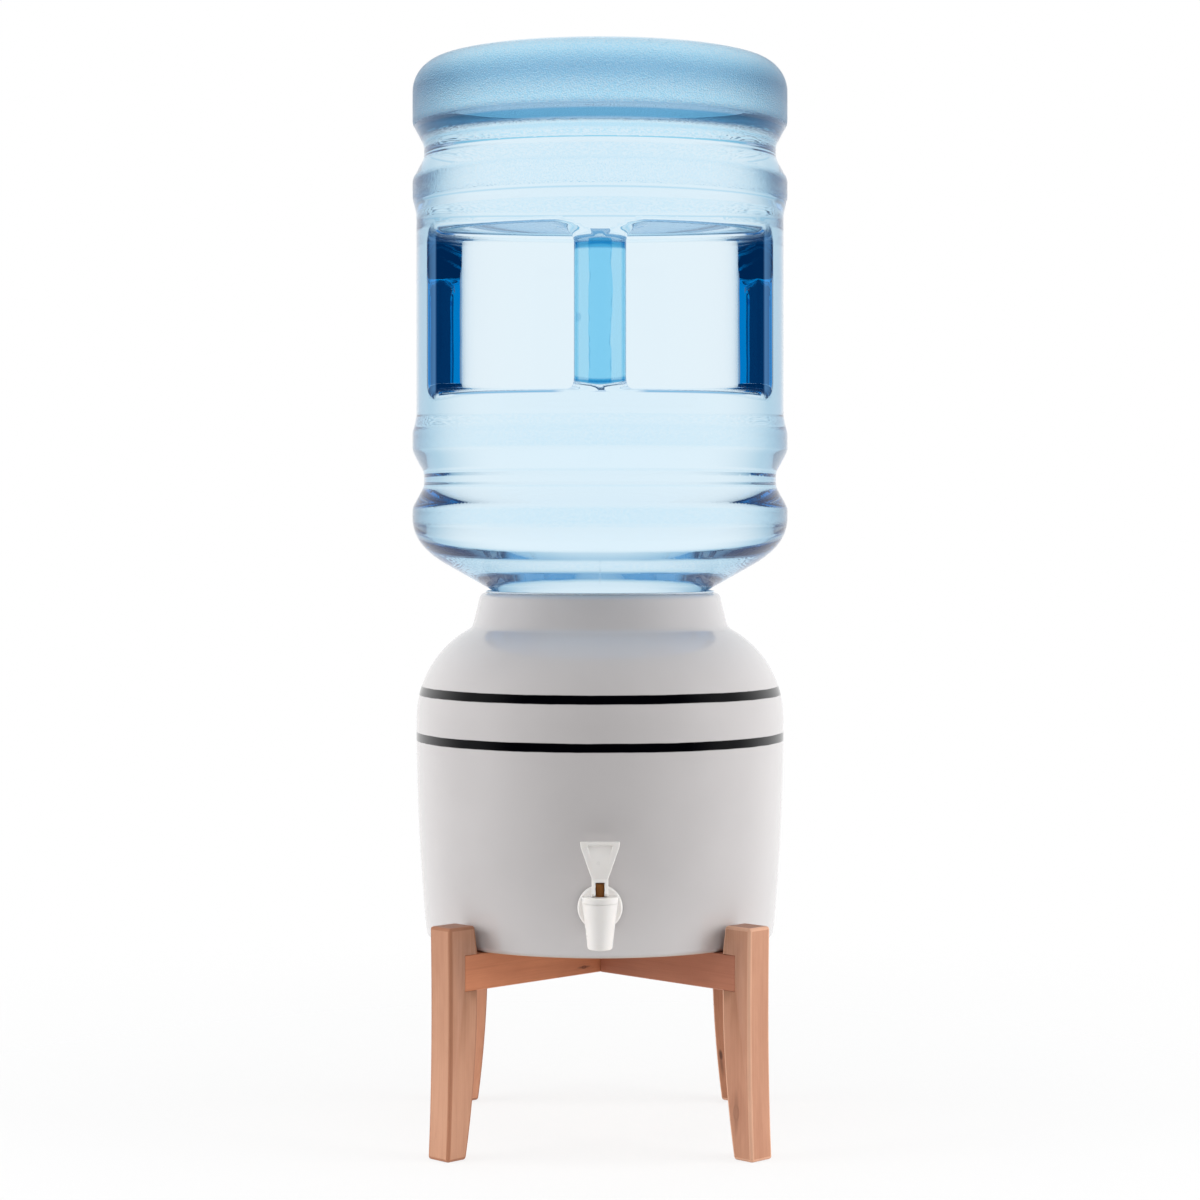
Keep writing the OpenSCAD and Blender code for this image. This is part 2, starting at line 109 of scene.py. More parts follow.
class StandSizes(bpy.types.PropertyGroup):
    """Sizes and colours of the wooden stand."""
    leg_t: length("Leg thickness", 0.021, "Thickness of the legs and the rails")
    post_in: length("Post radius", 0.1285, "Distance of a post's inner face from the crock's axis")
    leg_d: length("Leg depth", 0.0265, "Depth of a leg at the rails")
    foot_d: length("Foot depth", 0.0175, "Depth of a leg at the floor")
    foot_kick: length("Foot kick", 0.002, "How far a foot stands out beyond its post")
    waist: length("Leg waist", 0.002, "How far a leg's outer edge is drawn in at half height")
    lean: length("Post lean", 0.00276, "How far a post's inner face leans out at its top")
    housing_d: length("Housing depth", 0.0125, "Depth of the housing that takes a rail's end")
    joint_room: length("Joint room", 0.0001, "Room on each side of the crossing joint")
    edge: length("Worn edge", 0.0022, "Rounding of the legs' edges")
    rail_edge: length("Rail edge", 0.0009, "Rounding of the rails' edges")
    pale: colour("Pale wood", (0.615, 0.318, 0.194), "Colour of the wood between its growth lines")
    dark: colour("Dark wood", (0.45, 0.203, 0.117), "Colour of the wood's growth lines")
    rail: colour("Rail wood", (0.62, 0.270, 0.145), "Colour of the rails between their growth lines")
    rail_dark: colour("Dark rail wood", (0.44, 0.165, 0.085), "Colour of the rails' growth lines")
    # The left legs' rounded edges are darker than their faces
    dark_edge: colour("Worn edges", (0.47, 0.205, 0.115), "Colour of the left legs along their edges")
    # The right legs' rounded edges are lighter than their faces: a painted highlight
    edge_highlight: colour("Painted edge highlight", (0.78, 0.44, 0.295), "Colour of the right legs along their edges")
    # End grain: darker wood in its own right, and darker still as painted shade on the posts' tops
    end: colour("End grain", (0.40, 0.180, 0.110), "Colour of the legs' end grain")
    dowel: colour("Dowel wood", (0.62, 0.43, 0.24), "Colour of the raw dowels")


class CrockSizes(bpy.types.PropertyGroup):
    """Sizes and colours of the crock and its gasket."""
    base_r: length("Base radius", 0.1245, "Radius at the base")
    base_round: length("Base rounding", 0.004, "Rounding of the base's edge")
    wall: length("Wall", 0.008, "Thickness of the wall")
    floor_t: length("Floor", 0.010, "Thickness of the floor")
    floor_round: length("Floor rounding", 0.008, "Rounding inside between floor and wall")
    shoulder_h: length("Shoulder height", 0.0635, "Height of the rounded shoulder")
    shoulder_end: length("Shoulder end", 0.0945, "Radius where the shoulder ends")
    neck_h: length("Neck height", 0.0265, "Height of the neck above the shoulder")
    neck_foot: length("Neck foot", 0.0908, "Radius at the foot of the neck")
    neck_blend: length("Neck blend", 0.006, "Height of the blend from shoulder to neck")
    neck_bow: length("Neck bow", 0.001, "How far that blend bows out of the neck")
    rim_r: length("Rim radius", 0.087, "Outer radius of the rim")
    rim_round: length("Rim rounding", 0.005, "Rounding of the rim's outer edge")
    mouth_r: length("Mouth radius", 0.076, "Radius of the mouth")
    mouth_round: length("Mouth rounding", 0.003, "Rounding of the mouth's edge")
    throat_r: length("Throat radius", 0.081, "Radius inside below the mouth")
    hole_room: length("Hole room", 0.0002, "Room around the tap's shank in its hole")
    skirt_t: length("Skirt", 0.0016, "Thickness of the gasket's skirt in the mouth")
    skirt_room: length("Skirt room", 0.0001, "Room between the gasket's skirt and the mouth")
    seat_out: length("Seat width", 0.0015, "How far the bottle's seat on the gasket reaches past the mouth")
    flange_edge: length("Gasket edge", 0.0006, "Rounding of the gasket's outer edge")
    stripe_low: length("Lower stripe", 0.1435, "Height of the lower stripe's middle above the base")
    stripe_high: length("Upper stripe", 0.176, "Height of the upper stripe's middle above the base")
    stripe_w: length("Stripe width", 0.0062, "Width of a stripe")
    skin_r: length("Skin radius", 0.127, "Radius beyond which a face is on the outside, where stripes are")
    clay_h: length("Clay height", 0.0012, "Height above the base below which the clay is bare")
    glaze: colour("Glaze", (0.615, 0.592, 0.592), "Colour of the glaze")
    stripe: colour("Stripe", (0.0008, 0.0008, 0.0018), "Colour of the stripes")
    clay: colour("Clay", (0.55, 0.50, 0.44), "Colour of the unglazed foot")
    gasket: colour("Gasket", (0.74, 0.79, 0.83), "Colour of the gasket in the mouth")


class BottleSizes(bpy.types.PropertyGroup):
    """Sizes and colours of the water bottle, which stands neck down."""
    body_r: length("Body radius", 0.132, "Radius of the straight body")
    band_rise: length("Band rise", 0.0027, "How far the bands stand out of the body")
    groove_d: length("Groove depth", 0.0055, "Depth of the grooves below the body")
    groove_run: length("Groove run", 0.022, "Height from the middle of a groove to the next band")
    groove_half: length("Groove half width", 0.020, "Half the width of a groove")
    groove_slope: length("Groove slope", 0.015, "Height of a groove's sloping side")
    groove_soft: amount("Groove softness", 0.34, "Share of a groove's slope that is rounded")
    band_h: length("Band height", 0.011, "Height of a raised band")
    step_run: length("Step run", 0.012, "Height of the step from a band to the body")
    first_band_h: length("First band", 0.006, "Height of the band above the shoulder")
    body_h: length("Body height", 0.145, "Height of the straight body")
    neck_r: length("Neck radius", 0.0275, "Outer radius of the neck")
    neck_len: length("Neck length", 0.055, "Length of the neck")
    neck_round: length("Neck rounding", 0.009, "Blend from the neck to the cone")
    lip_rise: length("Lip rise", 0.002, "How far the lip stands out of the neck")
    lip_h: length("Lip height", 0.008, "Height of the lip")
    lip_edge: length("Lip edge", 0.0008, "Rounding of the lip's outer edge")
    bore_r: length("Neck bore", 0.0238, "Inner radius of the neck")
    bore_d: length("Bore depth", 0.014, "How deep the neck is empty")
    bore_edge: length("Bore edge", 0.0006, "Rounding of the lip's inner edge")
    cone: angle("Cone slope", 29.5, "Slope of the cone above the horizontal")
    shoulder_h: length("Shoulder height", 0.033, "Height of the rounded shoulder above the cone")
    shoulder_run: length("Shoulder run", 0.0244, "How far the rounded shoulder reaches inwards")
    heel_round: length("Heel rounding", 0.023, "Rounding of the heel at the closed end")
    dish_d: length("Dish depth", 0.009, "How far the closed end is dished")
    dish_r: length("Dish radius", 0.1058, "Radius at which the dish begins")
    dish_run: length("Dish run", 0.020, "How far the dish's slope reaches inwards")
    recess_d: length("Recess depth", 0.0747, "Depth of the hand recess")
    recess_h: length("Recess height", 0.1106, "Height of the hand recess")
    recess_low: length("Recess drop", 0.0023, "How far the recess lies below the middle of the body")
    ceiling_rise: length("Ceiling rise", 0.0025, "How far the recess's ceiling rises towards its ends")
    ceiling_slope: length("Ceiling slope", 0.003, "How far the recess's ceiling rises towards its front")
    recess_fillet: length("Recess fillet", 0.008, "Rounding deep inside the recess")
    edge_front: length("Front edge", 0.0030, "Rounding of the recess's edge at the front")
    edge_side: length("Side edge", 0.0069, "Rounding of the recess's edge at the sides")
    edge_from: length("Edge change", 0.075, "Distance beside the axis where the edge's rounding grows")
    edge_run: length("Edge run", 0.04, "Width over which the edge's rounding grows")
    grip_r: length("Grip radius", 0.0178, "Radius of the grip bar")
    grip_inset: length("Grip inset", 0.0002, "How far the grip lies inside the body's outline")
    grip_flare: length("Grip flare", 0.013, "Rounding where the grip runs into the recess's ceiling")
    grip_foot: length("Grip foot", 0.003, "Rounding where the grip runs into the recess's floor")
    grip_spread: length("Grip spread", 0.0027, "How far the grip's sides widen at its ends")
    spread_h: length("Spread height", 0.0075, "Height over which the grip's ends widen")
    # The grip's dark lines, paler stripes and fine lines placed below are painted refraction
    line_top: length("Upper line", 0.0089, "Distance of the grip's upper dark line below the ceiling")
    line_low: length("Lower line", 0.0054, "Distance of the grip's lower dark line above the floor")
    stripe_in: length("Stripe inside", 0.007743, "Distance from the grip's middle to a paler stripe")
    stripe_out: length("Stripe outside", 0.014596, "Distance from the grip's middle to that stripe's end")
    refraction_line: length("Refraction line", 0.007209, "Distance of the grip's fine painted refraction lines from its middle")
    line_bow: length("Line bow", 0.0025, "How far the dark lines bow towards the grip's ends")
    # The recess's dark edge lines are painted refraction
    rim_end: length("Rim end", 0.102, "Distance beside the axis where the recess's dark edge lines end")
    side_in: length("Side edge inside", 0.1152, "Distance beside the axis where the thick side edge begins")
    side_out: length("Side edge outside", 0.1202, "Distance beside the axis where that edge ends")
    mesh_step: length("Mesh step", 0.00248, "Size of the mesh's faces")
    tint: colour("Tint", (0.965, 0.985, 0.977), "Colour of the thin clear wall")
    # The deep tint is thick plastic, and painted refraction in the grip, the heel's rounding and the recess's
    # ceiling
    deep: colour("Deep tint", (0.30, 0.70, 0.90), "Colour of the wall where it is thick")
    # The ring under the heel is painted refraction
    ring: colour("Ring tint", (0.19, 0.59, 0.79), "Colour of the ring under the heel")
    # The line tint paints dark refraction lines on the grip and along the recess's front edges
    line: colour("Line tint", (0.02, 0.27, 0.56), "Colour of the painted dark refraction lines")
    frost: colour("Frosted tint", (0.555, 0.84, 0.955), "Colour of the pebbled heel")
    water: colour("Water", (0.0, 0.60, 0.93), "Colour that the depth of the bottle lets through")
    depth: number("Depth of tint", 1.05, "Share of light taken away per metre")
    ior: number("Refraction", 1.335, "How strongly the filled bottle bends light")
    glow: colour("Inner light", (0.0, 0.0032, 0.012), "Light that the bottle's wall scatters")
    edge_glow: colour("Edge light", (0.085, 0.205, 0.37), "Light that the recess's thick side edges scatter")
    pebble: length("Pebble size", 0.0009, "Size of the pebbles on the frosted bands")


class TapSizes(bpy.types.PropertyGroup):
    """Sizes and colours of the tap, its lever and its valve."""
    shank_r: length("Shank radius", 0.00925, "Radius of the shank")
    shank_bore: length("Shank bore", 0.0045, "Radius of the shank's bore")
    shank_blend: length("Shank blend", 0.0022, "Blend from the barrel to the shank")
    flange_r: length("Flange radius", 0.01525, "Radius of the flange")
    flange_y: length("Flange back", 0.0168, "Distance of the flange's back behind the barrel's axis")
    flange_t: length("Flange thickness", 0.004, "Thickness of the flange")
    flange_edge: length("Flange edge", 0.0014, "Rounding of the flange's edge")
    flange_blend: length("Flange blend", 0.0012, "Blend from the shank to the flange")
    thread_pitch: length("Thread pitch", 0.0024, "Pitch of the shank's thread")
    thread_d: length("Thread depth", 0.0007, "Depth of the shank's thread")
    thread_start: length("Thread start", 0.009, "Distance of the thread behind the flange")
    thread_fade: length("Thread fade", 0.002, "Length over which the thread deepens")
    spout_r: length("Spout radius", 0.0082, "Outer radius of the spout's lip")
    spout_bore: length("Spout bore", 0.005, "Radius of the spout's bore")
    lip_round: length("Lip rounding", 0.0016, "Rounding of the spout's lip")
    bore_edge: length("Bore edge", 0.0006, "Rounding of the edges of the bores and the shank's end")
    chamber_r: length("Chamber radius", 0.0075, "Radius of the valve chamber")
    seat_drop: length("Seat drop", 0.013493, "How far the valve's seat lies below the shank's axis")
    barrel_top: length("Barrel top radius", 0.01238, "Radius of the bonnet's top edge")
    bonnet_t: length("Bonnet thickness", 0.0042, "Height of the bonnet above the barrel")
    bonnet_edge: length("Bonnet edge", 0.0009, "Rounding of the bonnet's top edge")
    bonnet_room: length("Bonnet room", 0.0001, "Room around the bonnet")
    bonnet_cut: length("Bonnet cut", 0.0005, "Rounding of the cut that the bonnet sits in")
    plug_r: length("Plug radius", 0.0074, "Radius of the bonnet's plug")
    plug_in: length("Plug bore", 0.006, "Radius inside the bonnet's plug")
    stem_hole: length("Stem hole", 0.00305, "Radius of the hole that the stem runs in")
    hole_edge: length("Stem hole edge", 0.0004, "Chamfer of the stem's hole")
    lever_h: length("Lever height", 0.032, "Height of the lever above its pin")
    lever_top: length("Lever width", 0.0268, "Width of the lever at its top")
    lever_edge: length("Lever edge", 0.0007, "Rounding of the lever's edges")
    ear_h: length("Ear height", 0.0038, "Height of the upright corners at the lever's top")
    ear_lean: length("Ear lean", 0.0004, "How far those corners lean out")
    fork_w: length("Fork width", 0.0112, "Width of the lever's fork")
    fork_low: length("Fork foot", 0.006, "Depth below the pin that the fork stays above")
    fork_back: length("Fork back", 0.0044, "How far the fork reaches behind the pin")
    fork_front: length("Fork front", 0.0016, "How far the fork stands out in front of the blade")
    fork_drop: length("Fork drop", 0.003, "How far the fork's front corner lies below the blade's foot")
    foot_back: length("Foot back", 0.0036, "How far the cam's foot reaches behind the pin")
    slot_w: length("Slot width", 0.0064, "Width of the slot that takes the stem")
    slot_top: length("Slot top", 0.0046, "Height of the slot's top above the pin")
    slot_edge: length("Slot edge", 0.0004, "Rounding of the slot's edges")
    pin_hole: length("Pin hole", 0.00105, "Radius of the pin's hole")
    pin_edge: length("Pin hole edge", 0.0002, "Rounding of the pin hole's edges")
    blade_z: length("Blade foot", 0.007, "Height above the pin where the blade begins")
    blade_t: length("Blade thickness", 0.0046, "Thickness of the blade at its foot")
    tip_t: length("Tip thickness", 0.003, "Thickness of the blade at its top")
    scoop_border: length("Scoop border", 0.0026, "Width of the border around the thumb scoop")
    scoop_corner: number("Scoop corner", 1.8, "Width of the border at the scoop's top corners, in borders")
    scoop_d: length("Scoop depth", 0.0018, "Depth of the thumb scoop under the top edge")
    scoop_round: length("Scoop rounding", 0.0008, "Rounding at the scoop's floor")
    scoop_edge: length("Scoop edge", 0.0006, "Rounding of the scoop's edge")
    cam_h: length("Cam height", 0.0047, "Height of the pin above the cam's foot")
    cam_rate: length("Cam rate", 0.0032, "Lift of the valve per radian of tilt")
    tilt: angle("Lever tilt", 50, "Angle that the lever tilts to open the valve")
    body_step: length("Body mesh step", 0.0005, "Size of the faces of the tap's body")
    lever_step: length("Lever mesh step", 0.0004, "Size of the faces of the lever")
    spring_r: length("Spring radius", 0.0052, "Radius of the closing spring's coil")
    wire_r: length("Wire radius", 0.0004, "Radius of the spring's wire")
    spring_turns: IntProperty(name="Spring turns", description="Turns of the spring", default=6, min=2)
    plastic: colour("Tap plastic", (0.88, 0.855, 0.83), "Colour of the tap")
    stem: colour("Stem", (0.30, 0.105, 0.009), "Colour of the valve's stem")
    steel: colour("Steel", (0.60, 0.60, 0.62), "Colour of the spring and the pin")
    rubber: colour("Rubber", (0.035, 0.035, 0.037), "Colour of the seals and washers")


class StageSizes(bpy.types.PropertyGroup):
    """The camera, the lights and the floor."""
    distance: length("Camera distance", 2.16, "Distance of the camera in front of the crock's axis")
    eye: length("Camera height", 0.438, "Height of the camera above the floor")
    lens: number("Lens", 90.0, "Focal length of the camera", "CAMERA")
    rise: amount("Rise", 80 / 1200, "Share of the frame that the view is moved down")
    aim: length("Light height", 0.40, "Height of the place that the lights point at")
    left_power: number("Left light", 29.0, "Power of the left light", "POWER")
    right_power: number("Right light", 32.0, "Power of the right light", "POWER")
    top_power: number("Top light", 9.0, "Power of the top light", "POWER")
    back_power: number("Back lights", 8.0, "Power of each light behind", "POWER")
    ambient: amount("Ambient", 0.32, "Brightness of the surroundings on dull surfaces")
    front_dark: colour("Dark front", (0.004, 0.004, 0.005), "The dim room in front, as gloss shows it")
    front_blue: colour("Deep blue", (0.001, 0.016, 0.055), "What light from in front becomes in the bottle")
    side_blue: colour("Clear blue", (0.0, 0.25, 0.55), "What light from behind becomes round the bottle")
    pale_blue: colour("Pale side", (0.56, 0.73, 0.82), "The surroundings a little aside, through the bottle")
    far_blue: colour("Far side", (0.34, 0.54, 0.71), "The surroundings far aside, through the bottle")
    bounces: number("Bounces", 3.0, "Turns inside the bottle that give its full blue")
    floor_r: length("Floor radius", 1.1, "Radius at which the floor has faded out")
    floor: colour("Floor", (0.90, 0.90, 0.90), "Colour of the floor")
    floor_glow: amount("Floor glow", 0.80, "Share of the floor's white that no shadow takes away")


# Shapes as fields of distances: below zero inside, above zero outside

def ease(t):
    """A smooth step from 0 to 1 as t goes from 0 to 1."""
    return (1 - numpy.cos(math.pi * numpy.clip(t, 0, 1))) / 2


def ramp(t, soft=0.18):
    """A straight slope from 0 to 1 as t goes from 0 to 1, with its two corners rounded."""
    def area(u):
        return numpy.where(u < 0, 0, numpy.where(u < 1, u * u / 2, u - 0.5))
    return (area(t + soft / 2) - area(t - soft / 2)) / soft


def both(a, b, r):
    """What lies in both shapes, with the outer edge between them rounded by r."""
    rounded = numpy.hypot(numpy.maximum(r + a, 0), numpy.maximum(r + b, 0))
    return numpy.minimum(-r, numpy.maximum(a, b)) + rounded


def either(a, b, r):
    """What lies in either shape, with the inner corner between them filled by r."""
    return -both(-a, -b, r)


def without(a, b, r):
    """The first shape less the second, with the edge between them rounded by r."""
    return both(a, -b, r)


def outline_distance(points, u, v):
    """Distance from the outline of a polygon, below zero inside it."""
    nearest = numpy.full(numpy.broadcast(u, v).shape, 1e9)
    inside = numpy.zeros(nearest.shape, bool)
    for (au, av), (bu, bv) in zip(points, points[1:] + points[:1]):
        du, dv = bu - au, bv - av
        t = numpy.clip(((u - au) * du + (v - av) * dv) / (du * du + dv * dv), 0, 1)
        nearest = numpy.minimum(nearest, numpy.hypot(u - au - t * du, v - av - t * dv))
        if dv:
            inside ^= ((av > v) != (bv > v)) & (u < au + (v - av) * du / dv)
    return numpy.where(inside, -nearest, nearest)


def gradient(field, points, reach):
    """Direction in which a field grows at each point."""
    slopes = []
    for way in numpy.eye(3) * reach:
        slopes.append(field(*(points + way).T) - field(*(points - way).T))
    return numpy.stack(slopes, axis=1) / (2 * reach)


def field_mesh(name, field, low, high, step, rounds=4):
    """Closed mesh where a field is zero: one corner in each cell of a grid that the surface crosses."""
    low = numpy.array(low) - 1.5 * step
    count = numpy.ceil((numpy.array(high) + 1.5 * step - low) / step).astype(int) + 1
    lines = [low[i] + step * numpy.arange(count[i]) for i in range(3)]
    inside = field(*numpy.meshgrid(*lines, indexing="ij", sparse=True)) < 0
    filled = numpy.zeros(count - 1, int)
    for i, j, k in numpy.ndindex(2, 2, 2):
        filled += inside[i:count[0] - 1 + i, j:count[1] - 1 + j, k:count[2] - 1 + k]
    crossed = (filled > 0) & (filled < 8)
    corner = numpy.full(crossed.shape, -1)
    corner[crossed] = numpy.arange(crossed.sum())
    points = low + step * (numpy.argwhere(crossed) + 0.5)

    # A face across each grid line that the surface crosses
    quads = []
    for axis in range(3):
        u, v = numpy.eye(3, dtype=int)[[(axis + 1) % 3, (axis + 2) % 3]]
        first = numpy.take(inside, range(count[axis] - 1), axis)
        changed = numpy.argwhere(first != numpy.take(inside, range(1, count[axis]), axis))
        ring = [changed - u - v, changed - v, changed, changed - u]
        quad = numpy.stack([corner[tuple(cell.T)] for cell in ring], axis=1)
        leaving = first[tuple(changed.T)]
        quads.append(numpy.where(leaving[:, None], quad, quad[:, ::-1]))
    quads = numpy.concatenate(quads)

    # The corners are evened out and drawn onto the surface by turns
    ends = numpy.concatenate([quads[:, [i, (i + 1) % 4]] for i in range(4)])
    meets = numpy.bincount(ends[:, 0], minlength=len(points))
    for turn in range(rounds):
        if turn:
            pulls = [numpy.bincount(ends[:, 0], points[ends[:, 1], i], len(points)) for i in range(3)]
            points = (points + numpy.stack(pulls, axis=1) / meets[:, None]) / 2
        for _ in range(3):
            slope = gradient(field, points, step / 8)
            points = points - (field(*points.T) / (slope ** 2).sum(axis=1))[:, None] * slope
    slope = gradient(field, points, step / 8)
    mesh = bpy.data.meshes.new(name)
    mesh.from_pydata(points.tolist(), [], quads.tolist())
    mesh.polygons.foreach_set("use_smooth", [True] * len(mesh.polygons))
    mesh.normals_split_custom_set_from_vertices(slope / numpy.linalg.norm(slope, axis=1)[:, None])
    return mesh


# Curves in a plane

def arc(middle, r, start, end, count):
    """Points on an arc, between two angles in degrees."""
    turns = [math.radians(start + (end - start) * i / count) for i in range(count + 1)]
    return [(middle[0] + r * math.cos(t), middle[1] + r * math.sin(t)) for t in turns]


def blend(start, pull, end, count):
    """Points on a curve that leaves start towards pull and arrives at end from it."""
    points = []
    for i in range(count + 1):
        t = i / count
        weights = ((1 - t) ** 2, 2 * t * (1 - t), t * t)
        points.append(tuple(sum(w * p[k] for w, p in zip(weights, (start, pull, end))) for k in range(2)))
    return points


def blend_radius(z, start, pull, end):
    """Radius at height z on such a curve, whose points are radius and height."""
    a = start[1] - 2 * pull[1] + end[1]
    b = pull[1] - start[1]
    t = numpy.clip((numpy.sqrt(numpy.maximum(b * b - a * (start[1] - z), 0)) - b) / a, 0, 1)
    return (1 - t) ** 2 * start[0] + 2 * t * (1 - t) * pull[0] + t * t * end[0]


# Node trees

class Value:
    """A value that runs through a node tree; arithmetic on it adds math nodes."""

    def __init__(self, socket):
        self.socket = socket
        self.tree = socket.id_data

    def math(self, operation, *others, clamp=False):
        """What a math node makes of this value and others."""
        inputs = dict(enumerate((self, *others)))
        return output_of(self.tree, "ShaderNodeMath", 0, inputs, operation=operation, use_clamp=clamp)

    def vector(self, operation, *others):
        """What a vector math node makes of this value and others."""
        inputs = dict(enumerate((self, *others)))
        key = "Value" if operation == "LENGTH" else "Vector"
        return output_of(self.tree, "ShaderNodeVectorMath", key, inputs, operation=operation)

    def __add__(self, other):
        return self.math("ADD", other)

    def __sub__(self, other):
        return self.math("SUBTRACT", other)

    def __rsub__(self, other):
        return output_of(self.tree, "ShaderNodeMath", 0, {0: other, 1: self}, operation="SUBTRACT")

    def __mul__(self, other):
        return self.math("MULTIPLY", other)

    def __truediv__(self, other):
        return self.math("DIVIDE", other)

    def __pow__(self, other):
        return self.math("POWER", other)

    def __abs__(self):
        return self.math("ABSOLUTE")


def feed(socket, value):
    """Links an input to a value of its tree, or sets the input's own value."""
    if isinstance(value, Value):
        socket.id_data.links.new(value.socket, socket)
    else:
        socket.default_value = value


def add_node(tree, kind, inputs=None, **settings):
    """A new node with its settings and its inputs."""
    node = tree.nodes.new(kind)
    for key, value in settings.items():
        setattr(node, key, value)
    for key, value in (inputs or {}).items():
        feed(node.inputs[key], value)
    return node


def output_of(tree, kind, key, inputs=None, **settings):
    """One output of a new node."""
    return Value(add_node(tree, kind, inputs, **settings).outputs[key])


def larger(a, b):
    """The larger of two values."""
    return a.math("MAXIMUM", b)


def separate(place):
    """The three parts of a place."""
    return [Value(socket) for socket in add_node(place.tree, "ShaderNodeSeparateXYZ", {0: place}).outputs]


def node_tree(name, kind, inputs, outputs):
    """A new node group: its tree, the values given to it and the sockets of its results."""
    tree = bpy.data.node_groups.new(name, kind)
    for way, sockets in (("INPUT", inputs), ("OUTPUT", outputs)):
        for label, socket in sockets.items():
            tree.interface.new_socket(label, in_out=way, socket_type="NodeSocket" + socket)
    entry = tree.nodes.new("NodeGroupInput")
    leave = tree.nodes.new("NodeGroupOutput")
    return tree, {label: Value(entry.outputs[label]) for label in inputs}, leave.inputs


def finish_tree(geometry, given, leave):
    """Ends a geometry tree with real meshes in their material."""
    tree = geometry.tree
    real = output_of(tree, "GeometryNodeRealizeInstances", 0, {"Geometry": geometry})
    smooth = output_of(tree, "GeometryNodeSetShadeSmooth", 0, {"Geometry": real})
    inputs = {"Geometry": smooth, "Material": given["Material"]}
    feed(leave["Geometry"], output_of(tree, "GeometryNodeSetMaterial", 0, inputs))


def turned_tree():
    """Geometry nodes that turn an object's own row of points, radius and height, about an upright axis."""
    tree, given, leave = node_tree(
        "Turned profile", "GeometryNodeTree",
        {"Geometry": "Geometry", "Steps": "Int", "Axis": "Vector", "Material": "Material"},
        {"Geometry": "Geometry"})
    row = given["Geometry"]
    rows = output_of(tree, "GeometryNodeAttributeDomainSize", "Point Count", {"Geometry": row})
    sizes = {"Vertices X": given["Steps"] + 1.0, "Vertices Y": rows}
    grid = output_of(tree, "GeometryNodeMeshGrid", "Mesh", sizes)
    index = output_of(tree, "GeometryNodeInputIndex", 0)
    column = ((index + 0.5) / rows).math("FLOOR")
    turn = column / given["Steps"] * math.tau
    place = output_of(tree, "GeometryNodeInputPosition", 0)
    sample = {"Geometry": row, "Index": index.math("MODULO", rows), "Value": place}
    point = output_of(tree, "GeometryNodeSampleIndex", "Value", sample, data_type="FLOAT_VECTOR")
    r, _, z = separate(point)
    parts = {"X": r * turn.math("COSINE"), "Y": r * turn.math("SINE"), "Z": z}
    ring = output_of(tree, "ShaderNodeCombineXYZ", 0, parts).vector("ADD", given["Axis"])
    shaped = output_of(tree, "GeometryNodeSetPosition", 0, {"Geometry": grid, "Position": ring})
    closed = output_of(tree, "GeometryNodeMergeByDistance", 0, {"Geometry": shaped, "Distance": 1e-6})
    finish_tree(closed, given, leave)
    return tree


def spring_tree():
    """Geometry nodes that wind a round wire into a spring."""
    tree, given, leave = node_tree(
        "Wound spring", "GeometryNodeTree",
        {"Geometry": "Geometry", "Turns": "Float", "Coil Radius": "Float", "Wire Radius": "Float",
         "Height": "Float", "Foot": "Vector", "Material": "Material"},
        {"Geometry": "Geometry"})
    coil = {"Resolution": 32, "Rotations": given["Turns"], "Start Radius": given["Coil Radius"],
            "End Radius": given["Coil Radius"], "Height": given["Height"]}
    spiral = output_of(tree, "GeometryNodeCurveSpiral", 0, coil)
    section = {"Resolution": 12, "Radius": given["Wire Radius"]}
    circle = output_of(tree, "GeometryNodeCurvePrimitiveCircle", 0, section)
    swept = {"Curve": spiral, "Profile Curve": circle, "Fill Caps": True}
    wire = output_of(tree, "GeometryNodeCurveToMesh", 0, swept)
    placed = output_of(tree, "GeometryNodeTransform", 0, {"Geometry": wire, "Translation": given["Foot"]})
    finish_tree(placed, given, leave)
    return tree


def nodes_modifier(source, tree, values):
    """Puts a geometry tree on an object, with its inputs set by their identifiers."""
    modifier = source.modifiers.new(tree.name, "NODES")
    modifier.node_group = tree
    for item in tree.interface.items_tree:
        if item.in_out == "INPUT" and item.name in values:
            modifier[item.identifier] = values[item.name]


# Pieces

def add_piece(mesh, body, slot, material, *nodes):
    """Puts a finished mesh into the scene on a body, in place of the nodes that it stands for."""
    piece = bpy.data.objects.new(mesh.name, mesh)
    bpy.context.scene.collection.objects.link(piece)
    if material:
        mesh.materials.clear()
        mesh.materials.append(material)
    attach(piece, body)
    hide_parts(*nodes)
    return piece


def repaint(name, material):
    """Gives a node that keeps its packed shape a new material."""
    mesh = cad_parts[name].data
    mesh.materials.clear()
    mesh.materials.append(material)


def evaluated_mesh(name, mesh, set_up):
    """Plain mesh that a temporary object gives once set_up has put its modifiers on."""
    source = bpy.data.objects.new(name + " source", mesh)
    bpy.context.scene.collection.objects.link(source)
    set_up(source)
    depsgraph = bpy.context.evaluated_depsgraph_get()
    result = bpy.data.meshes.new_from_object(source.evaluated_get(depsgraph))
    source.modifiers.clear()
    bpy.data.objects.remove(source)
    bpy.data.meshes.remove(mesh)
    result.name = name
    return result


def face_outwards(mesh):
    """Turns every face of a closed mesh outwards."""
    shape = bmesh.new()
    shape.from_mesh(mesh)
    bmesh.ops.recalc_face_normals(shape, faces=shape.faces)
    if shape.calc_volume(signed=True) < 0:
        bmesh.ops.reverse_faces(shape, faces=shape.faces)
    shape.to_mesh(mesh)
    shape.free()


